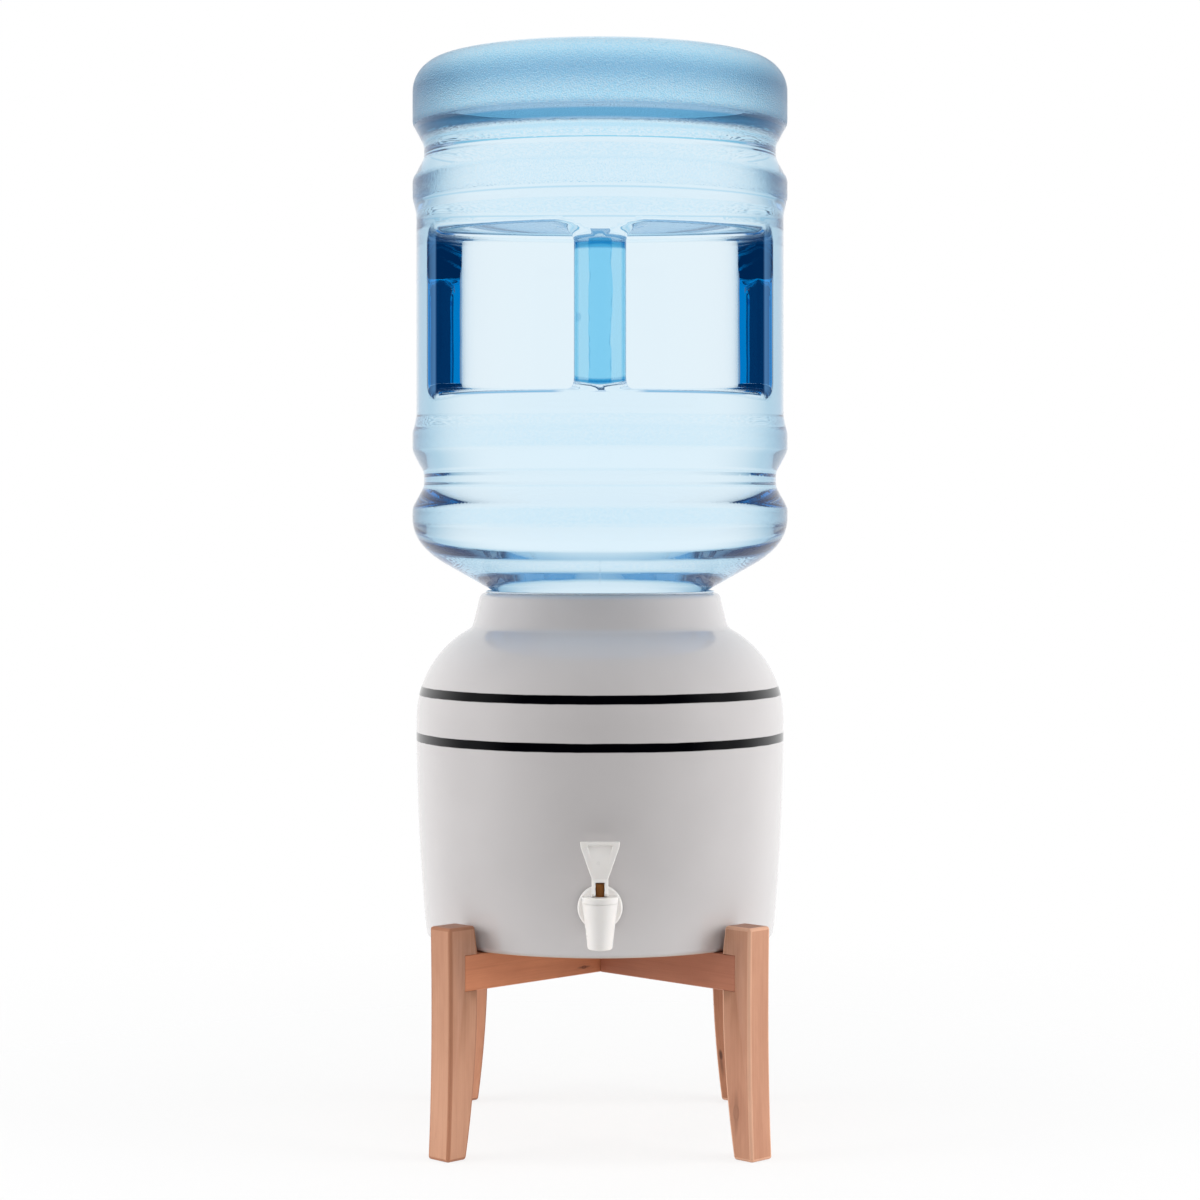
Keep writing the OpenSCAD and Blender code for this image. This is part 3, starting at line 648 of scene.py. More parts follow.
def turned_piece(name, profile, steps, axis_y, material):
    """Closed mesh of a profile, points of radius and height, turned about an upright axis."""
    row = bpy.data.meshes.new(name + " profile")
    row.from_pydata([(r, 0, z) for r, z in profile], [(i, i + 1) for i in range(len(profile) - 1)], [])
    tree = bpy.data.node_groups.get("Turned profile") or turned_tree()
    values = {"Steps": steps, "Axis": (0, axis_y, 0), "Material": material}
    mesh = evaluated_mesh(name, row, lambda source: nodes_modifier(source, tree, values))
    face_outwards(mesh)
    mesh.set_sharp_from_angle(angle=math.radians(50))
    return mesh


def plank(name, outline, thickness, turn, edge, materials, crisp=()):
    """A board that stands on edge and is turned about the crock's axis.

    Its outline is given by points, distance from the axis and height. Its materials are those of its sides,
    its ends and its rounded edges; no edge between crisp points is rounded.
    """
    shape = bmesh.new()
    face = shape.faces.new([shape.verts.new((r, -thickness / 2, z)) for r, z in outline])
    deep = bmesh.ops.extrude_face_region(shape, geom=[face])
    moved = [v for v in deep["geom"] if isinstance(v, bmesh.types.BMVert)]
    bmesh.ops.translate(shape, verts=moved, vec=(0, thickness, 0))
    bmesh.ops.recalc_face_normals(shape, faces=shape.faces)
    kept = [v for v in shape.verts if any(math.hypot(v.co.x - r, v.co.z - z) < 1e-6 for r, z in crisp)]
    wear = shape.edges.layers.float.new("bevel_weight_edge")
    for line in shape.edges:
        bent = line.calc_face_angle() > math.radians(30)
        line[wear] = float(bent and not all(v in kept for v in line.verts))
    for side in shape.faces:
        side.material_index = min(1, len(materials) - 1) if abs(side.normal.z) > 0.9 else 0
    place = Matrix.Translation((0, AXIS_Y, 0)) @ Matrix.Rotation(math.radians(turn), 4, "Z")
    bmesh.ops.transform(shape, matrix=place, verts=shape.verts)
    mesh = bpy.data.meshes.new(name)
    shape.to_mesh(mesh)
    shape.free()
    for material in materials:
        mesh.materials.append(material)
    mesh.polygons.foreach_set("use_smooth", [True] * len(mesh.polygons))

    def soften(source):
        bevel = source.modifiers.new("Worn edges", "BEVEL")
        bevel.material = len(materials) - 1
        bevel.width = edge
        bevel.segments = 3
        bevel.limit_method = "WEIGHT"
        bevel.harden_normals = True
    return evaluated_mesh(name, mesh, soften)


# Finishes

FINISH = {"Color": "Color", "Roughness": "Float", "Height": "Float"}


def new_material(name, **values):
    """A material whose Principled shader has these plain values; returns it, its tree and the shader."""
    material = bpy.data.materials.new(name)
    material.use_nodes = True
    shader = material.node_tree.nodes["Principled BSDF"]
    for key, value in values.items():
        shader.inputs[key.replace("_", " ")].default_value = value
    return material, material.node_tree, shader


def rgba(paint):
    """A colour with full alpha."""
    return (paint[0], paint[1], paint[2], 1.0)


def darker(paint, share):
    """A colour with this share of its brightness."""
    return [part * share for part in paint]


def object_place(tree):
    """The place on the piece, in metres."""
    return output_of(tree, "ShaderNodeTexCoord", "Object")


def light_path(tree):
    """What is known of the ray that meets a surface, by name."""
    return {socket.name: Value(socket) for socket in add_node(tree, "ShaderNodeLightPath").outputs}


def spread(value, low, high, to_low=0.0, to_high=1.0):
    """A smooth step between two values."""
    ends = {"Value": value, "From Min": low, "From Max": high, "To Min": to_low, "To Max": to_high}
    return output_of(value.tree, "ShaderNodeMapRange", "Result", ends, interpolation_type="SMOOTHSTEP")


def rises(value, place, soft):
    """A mask that goes from 0 to 1 around a place, softly on both sides of it."""
    return spread(value, place - soft, place + soft)


def falls(value, place, soft):
    """A mask that goes from 1 to 0 around a place, softly on both sides of it."""
    return spread(value, place - soft, place + soft, 1.0, 0.0)


def mixed(share, a, b):
    """A mix of two colours."""
    tree = next(part.tree for part in (share, a, b) if isinstance(part, Value))
    return output_of(tree, "ShaderNodeMix", 2, {0: share, 6: a, 7: b}, data_type="RGBA")


def noise(place, scale, detail=3.0, roughness=0.5):
    """A noise texture."""
    inputs = {"Vector": place, "Scale": scale, "Detail": detail, "Roughness": roughness}
    return output_of(place.tree, "ShaderNodeTexNoise", "Fac", inputs)


def bump(shader, height, distance):
    """Raises a material's surface by a height of that many metres."""
    inputs = {"Height": height, "Distance": distance, "Strength": 1.0}
    feed(shader.inputs["Normal"], output_of(height.tree, "ShaderNodeBump", "Normal", inputs))


def use_group(shader, group, inputs, distance):
    """Gives a shader the colour, roughness and relief that a group makes of its inputs."""
    node = add_node(shader.id_data, "ShaderNodeGroup", inputs, node_tree=group)
    feed(shader.inputs["Base Color"], Value(node.outputs["Color"]))
    feed(shader.inputs["Roughness"], Value(node.outputs["Roughness"]))
    bump(shader, Value(node.outputs["Height"]), distance)


def zones(height, ranges, soft):
    """A mask that has each range's share between its two heights."""
    mask = 0.0
    for low, high, share in ranges:
        mask = larger(rises(height, low, soft) * falls(height, high, soft) * share, mask)
    return mask


def moulded_group():
    """Shader group: the faint mottle and fine grain of moulded plastic, rubber and steel."""
    tree, given, leave = node_tree(
        "Moulded surface", "ShaderNodeTree",
        {"Color": "Color", "Mottle": "Float", "Grain": "Float", "Gloss": "Float", "Dullness": "Float"},
        FINISH)
    place = object_place(tree)
    cloud = noise(place, 60.0)
    dark = mixed(0.5, given["Color"], (0.0, 0.0, 0.0, 1.0))
    feed(leave["Color"], mixed(spread(cloud, 0.3, 0.7) * given["Mottle"], given["Color"], dark))
    ends = {"Value": cloud, "From Min": 0.3, "From Max": 0.7,
            "To Min": given["Gloss"], "To Max": given["Dullness"]}
    feed(leave["Roughness"], output_of(tree, "ShaderNodeMapRange", "Result", ends))
    feed(leave["Height"], noise(place, given["Grain"], 2.0))
    return tree


def moulded(name, paint, mottle, grain, gloss, dullness, depth, **values):
    """A moulded material of one colour."""
    material, _, shader = new_material(name, **values)
    group = bpy.data.node_groups.get("Moulded surface") or moulded_group()
    inputs = {"Color": rgba(paint), "Mottle": mottle, "Grain": grain, "Gloss": gloss, "Dullness": dullness}
    use_group(shader, group, inputs, depth)
    return material


def wood_group():
    """Shader group: growth lines, fibres and one knot with its flame, the grain along Z of its place."""
    tree, given, leave = node_tree(
        "Wood grain", "ShaderNodeTree",
        {"Place": "Vector", "Pale": "Color", "Dark": "Color", "Knot": "Vector", "Knot Size": "Float",
         "Knot Depth": "Float"}, FINISH)
    place = given["Place"]

    # The knot is a dark ring with a flame along the grain
    reach = place.vector("SUBTRACT", given["Knot"])
    away = reach.vector("MULTIPLY", (1.0, 1.0, 0.42)).vector("LENGTH") / given["Knot Size"]
    along = reach.vector("MULTIPLY", (1.0, 1.0, 0.14)).vector("LENGTH") / given["Knot Size"]
    ring = spread(abs(away - 0.7), 0.08, 0.35, 1.0, 0.0)
    flame = spread(along, 0.3, 1.0, 0.85, 0.0)
    core = larger(ring, flame) * given["Knot Depth"]
    swirl = spread(away, 0.6, 4.0, 1.0, 0.0)

    # Growth lines wander and bend around the knot, between fibres, blotches and pores
    x, y, _ = separate(place)
    wander = noise(place.vector("MULTIPLY", (1.0, 1.0, 0.055)), 42.0, 2.0)
    bent = wander * 0.03 + swirl * 0.010
    lines = ((x + y * 0.55 + bent) * 900.0).math("SINE")
    fine = place.vector("MULTIPLY", (1.0, 1.0, 0.02))
    fibre = noise(fine, 950.0, 4.0, 0.65)
    pores = spread(noise(fine, 1500.0, 2.0), 0.66, 0.74)
    blotch = noise(place.vector("MULTIPLY", (1.0, 1.0, 0.3)), 34.0, 4.0, 0.6)
    share = (lines + 1.0) * 0.045 + spread(fibre, 0.35, 0.75) * 0.26
    share = share + spread(blotch, 0.32, 0.72) * 0.50 + pores * 0.25
    share = share.math("ADD", swirl * 0.22, clamp=True)
    grained = mixed(share, given["Pale"], given["Dark"])
    deep = mixed(0.75, given["Dark"], (0.03, 0.012, 0.006, 1.0))
    feed(leave["Color"], mixed(core, grained, deep))
    feed(leave["Roughness"], spread(fibre, 0.3, 0.8, 0.42, 0.58))
    feed(leave["Height"], fibre)
    return tree


def wood(name, pale, dark, turn=None, knot=(0.0, 0.0, -1.0), knot_size=0.003, knot_depth=1.0):
    """Wood with its grain upright or, where turn is given, along a level rail turned that many degrees.

    The knot lies where it is given, or out of the board's reach.
    """
    material, tree, shader = new_material(name, Specular_IOR_Level=0.35)
    place = object_place(tree)
    if turn is not None:
        lie = Matrix.Rotation(math.radians(90), 3, "Y") @ Matrix.Rotation(math.radians(-turn), 3, "Z")
        place = output_of(tree, "ShaderNodeMapping", 0, {"Vector": place, "Rotation": lie.to_euler()})
        knot = lie @ Vector(knot)
    group = bpy.data.node_groups.get("Wood grain") or wood_group()
    inputs = {"Place": place, "Pale": rgba(pale), "Dark": rgba(dark), "Knot": tuple(knot),
              "Knot Size": knot_size, "Knot Depth": knot_depth}
    use_group(shader, group, inputs, 0.00012)
    return material


def glaze(sizes):
    """Pale glaze with two dark stripes, and bare clay under the foot."""
    material, tree, shader = new_material("Glaze", IOR=1.75)
    place = object_place(tree)
    level = separate(place)[2] + (noise(place, 55.0, 2.0) - 0.5) * 0.0006
    half = sizes.stripe_w / 2
    stripes = []
    for middle in (sizes.stripe_low, sizes.stripe_high):
        off = abs(level - (CROCK_LOW.z + middle))
        stripes.append(falls(off, half, 0.0003))
    flat = place.vector("SUBTRACT", (0.0, AXIS_Y, 0.0)).vector("MULTIPLY", (1.0, 1.0, 0.0))
    outside = flat.vector("LENGTH").math("GREATER_THAN", sizes.skin_r)
    pooled = spread(noise(place, 14.0), 0.35, 0.7)
    pale = mixed(pooled, rgba(sizes.glaze), rgba(darker(sizes.glaze, 0.965)))
    painted = mixed(larger(*stripes) * outside, pale, rgba(sizes.stripe))
    bare = falls(level, CROCK_LOW.z + sizes.clay_h, 0.0004)
    feed(shader.inputs["Base Color"], mixed(bare, painted, rgba(sizes.clay)))
    gloss = spread(noise(place, 120.0, 2.0), 0.3, 0.7, 0.05, 0.09)
    feed(shader.inputs["Roughness"], gloss + bare * 0.5)
    bump(shader, noise(place, 160.0, 1.0), 0.00003)
    return material


def grip_marks(sizes, place, grip_y, grip_z):
    """Masks of the grip bar's painted refraction: deep middle between two paler stripes, dark and fine lines.
    """
    x, y, height = separate(place)
    beside = abs(x)
    wide = x ** 2.0
    around = (wide + (y - grip_y) ** 2.0).math("SQRT")
    bar = falls(around, sizes.grip_r + 0.004, 0.002)
    bow = wide * (sizes.line_bow / sizes.grip_r ** 2)
    upper = height + bow
    lower = height - bow
    top = grip_z + sizes.recess_h / 2 - sizes.line_top
    low = grip_z - sizes.recess_h / 2 + sizes.line_low
    # The deep middle, its paler stripes and its dark lines are painted refraction through the grip's water
    middle = bar * (rises(lower, low, 0.002) * falls(upper, top, 0.002))
    across = beside + (noise(place, 60.0, 2.0) - 0.5) * 0.004
    stripe = rises(across, sizes.stripe_in, sizes.grip_r * 0.025)
    stripe = stripe * falls(beside, sizes.stripe_out, sizes.grip_r * 0.04)
    low_line = zones(lower, [(low - 0.0017, low + 0.0013, 1.0)], 0.0008)
    top_line = zones(upper, [(top - 0.004, top + 0.001, 1.0)], 0.001)
    ends = larger(low_line, top_line) * (1.0 - stripe * 0.5)
    # Fine dark lines along the grip, also painted refraction
    broken = spread(noise(place, 120.0, 2.0), 0.45, 0.6, 0.0, 0.45)
    refraction_line = falls(abs(across - sizes.refraction_line), 0.0004, 0.0002) * broken
    return middle * (1.0 - stripe * 0.75), larger(bar * ends, middle * refraction_line)


def recess_marks(sizes, place, grip_y, grip_z):
    """Masks of the hand recess's bluish ceiling and dark front edge lines, both painted refraction, and of
    its side edges.
    """
    x, y, height = separate(place)
    beside = abs(x)
    ceiling = grip_z + sizes.recess_h / 2
    floor = grip_z - sizes.recess_h / 2
    radius = (x ** 2.0 + (y - AXIS_Y) ** 2.0).math("SQRT")
    inside = falls(radius, sizes.body_r - 0.0045, 0.0015)
    window = rises(beside, sizes.grip_r + 0.010, 0.006) * falls(y, grip_y + 0.050, 0.005)
    # Blue on the ceiling and dark lines along the front edges: painted refraction
    ceiling_refraction = zones(height, [(ceiling - 0.001, ceiling + 0.006, 0.4)], 0.001) * inside
    rims = [(floor - 0.0024, floor - 0.0008, 0.9), (ceiling + 0.0026, ceiling + 0.0042, 0.7)]
    rim = zones(height, rims, 0.0006) * (1.0 - inside) * falls(beside, sizes.rim_end, 0.003)
    sides = zones(beside, [(sizes.side_in, sizes.side_out, 1.0)], 0.0009)
    sides = sides * falls(y, grip_y + 0.060, 0.005) * zones(height, [(floor, ceiling, 1.0)], 0.004)
    return ceiling_refraction * window, rim * window, sides


def bottle_plastic(sizes, bands, thick, lines, grip_y, grip_z):
    """Clear tinted plastic full of water, pebbled in the bands, deeper in colour where thick and as painted
    refraction.
    """
    material, tree, shader = new_material(
        "Filled bottle", Transmission_Weight=1.0, IOR=sizes.ior, Emission_Strength=1.0)
    place = object_place(tree)
    x, _, height = separate(place)
    deep, refraction_lines = grip_marks(sizes, place, grip_y, grip_z)
    ceiling_refraction, rims, sides = recess_marks(sizes, place, grip_y, grip_z)
    grain = spread(noise(place, 900.0, 2.0), 0.4, 0.6, 0.2, 1.0)
    # Over the tint: the pebbled bands; deeper where thick and as painted refraction; the lines under the heel
    # and above the body; the ceiling's blue and the dark lines, painted refraction
    coats = ((zones(height, bands, 0.0015) * grain, sizes.frost),
             (larger(deep, zones(height, thick, 0.006)), sizes.deep),
             (zones(height, lines, 0.0008), sizes.ring),
             (ceiling_refraction, sizes.deep),
             (larger(refraction_lines, rims), sizes.line))
    tinted = rgba(sizes.tint)
    for share, paint in coats:
        tinted = mixed(share, tinted, rgba(paint))
    feed(shader.inputs["Base Color"], tinted)
    feed(shader.inputs["Emission Color"], mixed(sides, rgba(sizes.glow), rgba(sizes.edge_glow)))

    # Pebbles, a gentle unevenness and the mould's parting line at the front and the back
    frosted = zones(height, bands, 0.0012)
    cells = {"Vector": place, "Scale": 1 / sizes.pebble}
    pebbles = output_of(tree, "ShaderNodeTexVoronoi", "Distance", cells, feature="SMOOTH_F1")
    parting = [(low, high, 1.0) for low, high, share in thick[:1] + lines[:1]]
    seam = falls(abs(x), 0.0004, 0.0002) * zones(height, parting, 0.004) * 0.15
    wavy = noise(place, 30.0, 1.0) * 0.15
    bump(shader, pebbles * 0.55 * frosted + (wavy + seam), 0.0006)
    feed(shader.inputs["Roughness"], frosted * 0.3)
    water = {"Color": rgba(sizes.water), "Density": sizes.depth}
    volume = output_of(tree, "ShaderNodeVolumeAbsorption", 0, water)
    feed(tree.nodes["Material Output"].inputs["Volume"], volume)
    return material


# Operators

# Name, power, place and size of each lamp
LAMPS = (
    ("Left light", "left_power", (-1.85, -0.42, 0.65), (1.5, 1.4)),
    ("Right light", "right_power", (1.85, -0.42, 0.65), (1.5, 1.4)),
    ("Top light", "top_power", (0, -0.5, 2.1), (1.6, 1.6)),
    ("Back left light", "back_power", (-1.25, 2.0, 0.9), (1.6, 1.6)),
    ("Back right light", "back_power", (1.25, 2.0, 0.9), (1.6, 1.6)),
)


class StageOperator(bpy.types.Operator):
    """Sets up the camera, the lights, the white surroundings and the floor"""
    bl_idname = "dispenser.stage"
    bl_label = "Stage"

    def execute(self, context):
        stage = context.scene.dispenser_stage
        context.scene.view_settings.view_transform = "Standard"
        camera = bpy.data.objects.new("Camera", bpy.data.cameras.new("Camera"))
        camera.data.lens = stage.lens
        camera.data.sensor_width = 36.0
        camera.data.shift_y = -stage.rise
        camera.location = (0, AXIS_Y - stage.distance, stage.eye)
        camera.rotation_euler = (math.radians(90), 0, 0)
        context.scene.collection.objects.link(camera)
        context.scene.camera = camera
        for name, power, place, size in LAMPS:
            self.lamp(name, getattr(stage, power), Vector(place), size, Vector((0, AXIS_Y, stage.aim)))
        self.surroundings(context.scene, stage)
        self.floor(context.scene, stage)
        return {"FINISHED"}

    def lamp(self, name, power, place, size, target):
        """A soft lamp that no gloss and no glass shows."""
        light = bpy.data.lights.new(name, "AREA")
        light.shape = "RECTANGLE"
        light.size, light.size_y = size
        light.energy = power
        lamp = bpy.data.objects.new(name, light)
        lamp.location = place
        lamp.rotation_euler = (target - place).to_track_quat("-Z", "Y").to_euler()
        lamp.visible_glossy = False
        lamp.visible_transmission = False
        bpy.context.scene.collection.objects.link(lamp)

    def surroundings(self, scene, stage):
        """White to the camera, dim in front to gloss, and blue to what goes through the bottle."""
        world = bpy.data.worlds.new("Studio")
        scene.world = world
        world.use_nodes = True
        tree = world.node_tree
        path = light_path(tree)
        x, y, _ = separate(output_of(tree, "ShaderNodeTexCoord", "Generated"))
        white = (1.0, 1.0, 1.0, 1.0)
        back = spread(y, 0.0, 0.9, 0.15, 1.0)
        mirrored = mixed(spread(y, -0.60, -0.05, 1.0, 0.0), back, rgba(stage.front_dark))
        dull = mixed(path["Is Glossy Ray"], rgba([stage.ambient] * 3), mirrored)
        inner = mixed(spread(y, -0.7, -0.2), rgba(stage.front_blue), rgba(stage.side_blue))
        aside = mixed(spread(abs(y), 0.95, 0.70), white, rgba(stage.pale_blue))
        aside = mixed(spread(abs(y), 0.80, 0.35), aside, rgba(stage.far_blue))
        aside = mixed(spread(abs(x), 0.86, 0.97), aside, white)
        bounced = path["Glossy Depth"].math("DIVIDE", stage.bounces, clamp=True)
        through = mixed(bounced, aside, inner)
        level = mixed(path["Is Transmission Ray"], dull, through)
        level = mixed(path["Is Camera Ray"], level, white)
        background = tree.nodes["Background"]
        feed(background.inputs["Color"], level)
        feed(background.inputs["Strength"], 1.0)

    def floor(self, scene, stage):
        """A round floor that glows a little, so that its shadows stay pale, and fades out."""
        mesh = bpy.data.meshes.new("Floor")
        shape = bmesh.new()
        bmesh.ops.create_circle(shape, cap_ends=True, segments=96, radius=stage.floor_r)
        shape.to_mesh(mesh)
        shape.free()
        floor = bpy.data.objects.new("Floor", mesh)
        scene.collection.objects.link(floor)
        material, tree, shader = new_material("Pale floor", Base_Color=rgba(stage.floor), Roughness=0.9,
                                              Specular_IOR_Level=0.1)
        path = light_path(tree)
        seen = larger(path["Is Camera Ray"], larger(path["Is Glossy Ray"], path["Is Transmission Ray"]))
        grey = output_of(tree, "ShaderNodeBsdfDiffuse", 0, {"Color": rgba([1.0 - stage.floor_glow] * 3)})
        glow = output_of(tree, "ShaderNodeEmission", 0, {"Strength": stage.floor_glow})
        lit = output_of(tree, "ShaderNodeAddShader", 0, {0: grey, 1: glow})
        shown = output_of(tree, "ShaderNodeMixShader", 0, {0: seen, 1: Value(shader.outputs[0]), 2: lit})
        fade = spread(object_place(tree).vector("LENGTH"), 0.25, stage.floor_r * 0.95)
        clear = output_of(tree, "ShaderNodeBsdfTransparent", 0)
        faded = output_of(tree, "ShaderNodeMixShader", 0, {0: fade, 1: shown, 2: clear})
        feed(tree.nodes["Material Output"].inputs["Surface"], faded)
        mesh.materials.append(material)


# Tone of each board beside the wood's own colours, and place, size and depth of each knot
TONES = {
    "leg_front_left": (1.0, 1.03, 1.08),
    "leg_front_right": (1.0, 1.0, 1.05),
    "leg_back_left": (1.14, 1.09, 1.08),
    "leg_back_right": (0.82, 0.72, 0.66),
    "rail_notched_above": (1.20, 1.09, 1.03),
    "rail_notched_below": (0.90, 0.83, 0.92),
}
KNOTS = {
    "leg_back_right": ((0.0925, AXIS_Y + 0.0998, 0.0368), 0.0031, 1.0),
    "leg_front_right": ((0.0935, AXIS_Y - 0.1076, 0.0325), 0.0030, 0.35),
    "rail_notched_above": ((-0.0117, AXIS_Y - 0.0259, 0.120), 0.0013, 0.9),
}


class StandOperator(bpy.types.Operator):
    """Builds the four legs and the two rails that are halved over each other"""
    bl_idname = "dispenser.stand"
    bl_label = "Stand"

    def execute(self, context):
        stand = context.scene.dispenser_stand
        # The end grain's colour is darker wood and painted shade on the posts' tops
        end = wood("End grain", stand.end, darker(stand.end, 0.7))
        # The left legs' rounded edges are darker; the right legs' edges carry a painted highlight
        edges = {"left": wood("Worn wood edge", stand.dark_edge, darker(stand.dark_edge, 0.8)),
                 "right": wood("Fresh wood edge", stand.edge_highlight, darker(stand.edge_highlight, 0.8))}
        housing = stand.post_in + stand.housing_d
        crisp = [(r, z) for r in (stand.post_in, housing) for z in (RAIL_LOW.z, RAIL_HIGH.z)]
        for name, turn in LEGS.items():
            materials = [self.board(name, stand.pale, stand.dark), end, edges[name.split("_")[2]]]
            outline = self.leg_outline(stand)
            mesh = plank(name + ".look", outline, stand.leg_t, turn, stand.edge, materials, crisp)
            add_piece(mesh, "stand", "wood", None, name)
        for name, turn in RAILS.items():
            materials = [self.board(name, stand.rail, stand.rail_dark, turn)]
            outline = self.rail_outline(stand, name == "rail_notched_above")
            mesh = plank(name + ".look", outline, stand.leg_t, turn, stand.rail_edge, materials)
            add_piece(mesh, "stand", "wood", None, name)
        repaint("rail_dowels", wood("Raw dowel wood", stand.dowel, darker(stand.dowel, 0.8)))
        return {"FINISHED"}

    def board(self, name, pale, dark, turn=None):
        """Wood of one board, in its own tone and with its own knot."""
        toned = [[c * t for c, t in zip(paint, TONES[name])] for paint in (pale, dark)]
        return wood("Wood of " + name, *toned, turn, *KNOTS.get(name, ()))

    def leg_outline(self, stand):
        """A leg from the side, with the notch that takes the rail's end."""
        post_out = stand.post_in + stand.leg_d
        foot_out = post_out + stand.foot_kick
        foot_in = foot_out - stand.foot_d
        housing = stand.post_in + stand.housing_d
        low, high = RAIL_LOW.z, RAIL_HIGH.z
        outer = blend((foot_out, 0.0), (post_out - stand.waist, high / 2), (post_out, POST_TOP), 24)
        inner = blend((stand.post_in, low), (stand.post_in, low / 2), (foot_in, 0.0), 18)
        notch = [(stand.post_in, high), (housing, high), (housing, low)]
        return outer + [(stand.post_in + stand.lean, POST_TOP)] + notch + inner

    def rail_outline(self, stand, above):
        """A rail from the side, notched above or below for the other one."""
        end = stand.post_in + stand.housing_d
        half = stand.leg_t / 2 + stand.joint_room
        low, high = RAIL_LOW.z, RAIL_HIGH.z
        middle = (low + high) / 2
        edge, other = (high, low) if above else (low, high)
        notch = [(half, edge), (half, middle), (-half, middle), (-half, edge)]
        return [(-end, other), (end, other), (end, edge)] + notch + [(-end, edge)]


class CrockOperator(bpy.types.Operator):
    """Turns the glazed crock and the soft gasket in its mouth"""
    bl_idname = "dispenser.crock"
    bl_label = "Crock"

    def execute(self, context):
        crock = context.scene.dispenser_crock
        self.size = crock
        self.tall = CROCK_HIGH.z - CROCK_LOW.z
        self.belly_r = (CROCK_HIGH.x - CROCK_LOW.x) / 2
        self.belly_z = self.tall - crock.neck_h - crock.shoulder_h
        self.run = self.belly_r - crock.shoulder_end
        self.arc_r = (self.run * self.run + crock.shoulder_h ** 2) / (2 * self.run)
        glazed = glaze(crock)
        profile = [(r, CROCK_LOW.z + z) for r, z in self.outside() + self.inside()]
        mesh = turned_piece("crock.look", profile, 160, AXIS_Y, glazed)
        mesh = self.drilled(mesh, context.scene.dispenser_tap.shank_r + crock.hole_room)
        add_piece(mesh, "crock", "glaze", glazed, "crock")
        soft = moulded("Gasket silicone", crock.gasket, mottle=0.1, grain=500.0, gloss=0.4, dullness=0.5,
                       depth=0.00002, Subsurface_Weight=0.1)
        profile = self.gasket(math.tan(context.scene.dispenser_bottle.cone))
        mesh = turned_piece("mouth_gasket.look", profile, 128, AXIS_Y, soft)
        add_piece(mesh, "crock", "silicone", soft, "mouth_gasket")
        return {"FINISHED"}

    def side(self, z):
        """Radius of the crock's side at a height above its base."""
        return self.belly_r - (self.belly_r - self.size.base_r) * (1 - z / self.belly_z) ** 2

    def outside(self):
        """Profile from the middle of the base up to the rim."""
        crock = self.size
        neck_z = self.tall - crock.neck_h
        sweep = math.degrees(math.atan2(crock.shoulder_h, self.arc_r - self.run))
        foot = arc((crock.base_r - crock.base_round, crock.base_round), crock.base_round, -90, 0, 8)
        heights = [crock.base_round + (self.belly_z - crock.base_round) * i / 24 for i in range(1, 25)]
        shoulder = arc((self.belly_r - self.arc_r, self.belly_z), self.arc_r, 1, sweep, 36)
        neck = blend((crock.shoulder_end, neck_z),
                     (crock.neck_foot + crock.neck_bow, neck_z + crock.neck_blend / 4),
                     (crock.neck_foot, neck_z + crock.neck_blend), 8)
        rim = arc((crock.rim_r - crock.rim_round, self.tall - crock.rim_round), crock.rim_round, 0, 90, 10)
        return [(0.0, 0.0)] + foot + [(self.side(z), z) for z in heights] + shoulder + neck + rim

    def inside(self):
        """Profile from the mouth down to the middle of the floor."""
        crock = self.size
        side_z = crock.floor_t + crock.floor_round
        lining = self.arc_r - crock.wall
        sweep = math.degrees(math.acos((crock.throat_r - self.belly_r + self.arc_r) / lining))
        bend = (crock.mouth_r + crock.mouth_round, self.tall - crock.mouth_round)
        mouth = arc(bend, crock.mouth_round, 90, 180, 8)
        shoulder = arc((self.belly_r - self.arc_r, self.belly_z), lining, sweep, 1, 24)
        heights = [side_z + (self.belly_z - side_z) * i / 16 for i in range(16, 0, -1)]
        wall = [(self.side(z) - crock.wall, z) for z in heights]
        corner = (self.side(side_z) - crock.wall - crock.floor_round, side_z)
        return mouth + shoulder + wall + arc(corner, crock.floor_round, 0, -90, 8) + [(0.0, crock.floor_t)]

    def gasket(self, cone):
        """Profile of the gasket: a skirt in the mouth and a flange on the rim, cut to the bottle's cone."""
        crock = self.size
        low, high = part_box("mouth_gasket")
        flange = (high.x - low.x) / 2
        skirt_out = crock.mouth_r - crock.skirt_room
        skirt_in = skirt_out - crock.skirt_t
        seat = crock.mouth_r + crock.seat_out
        bend = (crock.mouth_r + crock.mouth_round, CROCK_HIGH.z - crock.mouth_round)
        edge = (flange - crock.flange_edge, CROCK_HIGH.z + crock.flange_edge)
        profile = [(skirt_in, low.z), (skirt_out, low.z)]
        profile += arc(bend, crock.mouth_round + crock.skirt_room, 180, 90, 8)
        profile += arc(edge, crock.flange_edge, -90, 90, 8)
        return profile + [(seat, high.z), (skirt_in, high.z - (seat - skirt_in) * cone), (skirt_in, low.z)]

    def drilled(self, mesh, r):
        """The crock with a hole for the tap's shank through the front of its wall."""
        bit = bpy.data.meshes.new("Drill bit")
        shape = bmesh.new()
        reach = 0.08
        place = Matrix.Translation((0, CROCK_LOW.y, SHANK_Z)) @ Matrix.Rotation(math.radians(90), 4, "X")
        # A small turn keeps the bit's edges off the crock's own
        place = place @ Matrix.Rotation(math.radians(1.3), 4, "Z")
        bmesh.ops.create_cone(shape, cap_ends=True, segments=64, radius1=r, radius2=r, depth=reach,
                              matrix=place)
        shape.to_mesh(bit)
        shape.free()
        drill = bpy.data.objects.new("Drill", bit)
        bpy.context.scene.collection.objects.link(drill)

        def cut(source):
            hole = source.modifiers.new("Tap hole", "BOOLEAN")
            hole.solver = "EXACT"
            hole.object = drill
        result = evaluated_mesh("crock.look", mesh, cut)
        bpy.data.objects.remove(drill)
        bpy.data.meshes.remove(bit)
        result.set_sharp_from_angle(angle=math.radians(50))
        return result


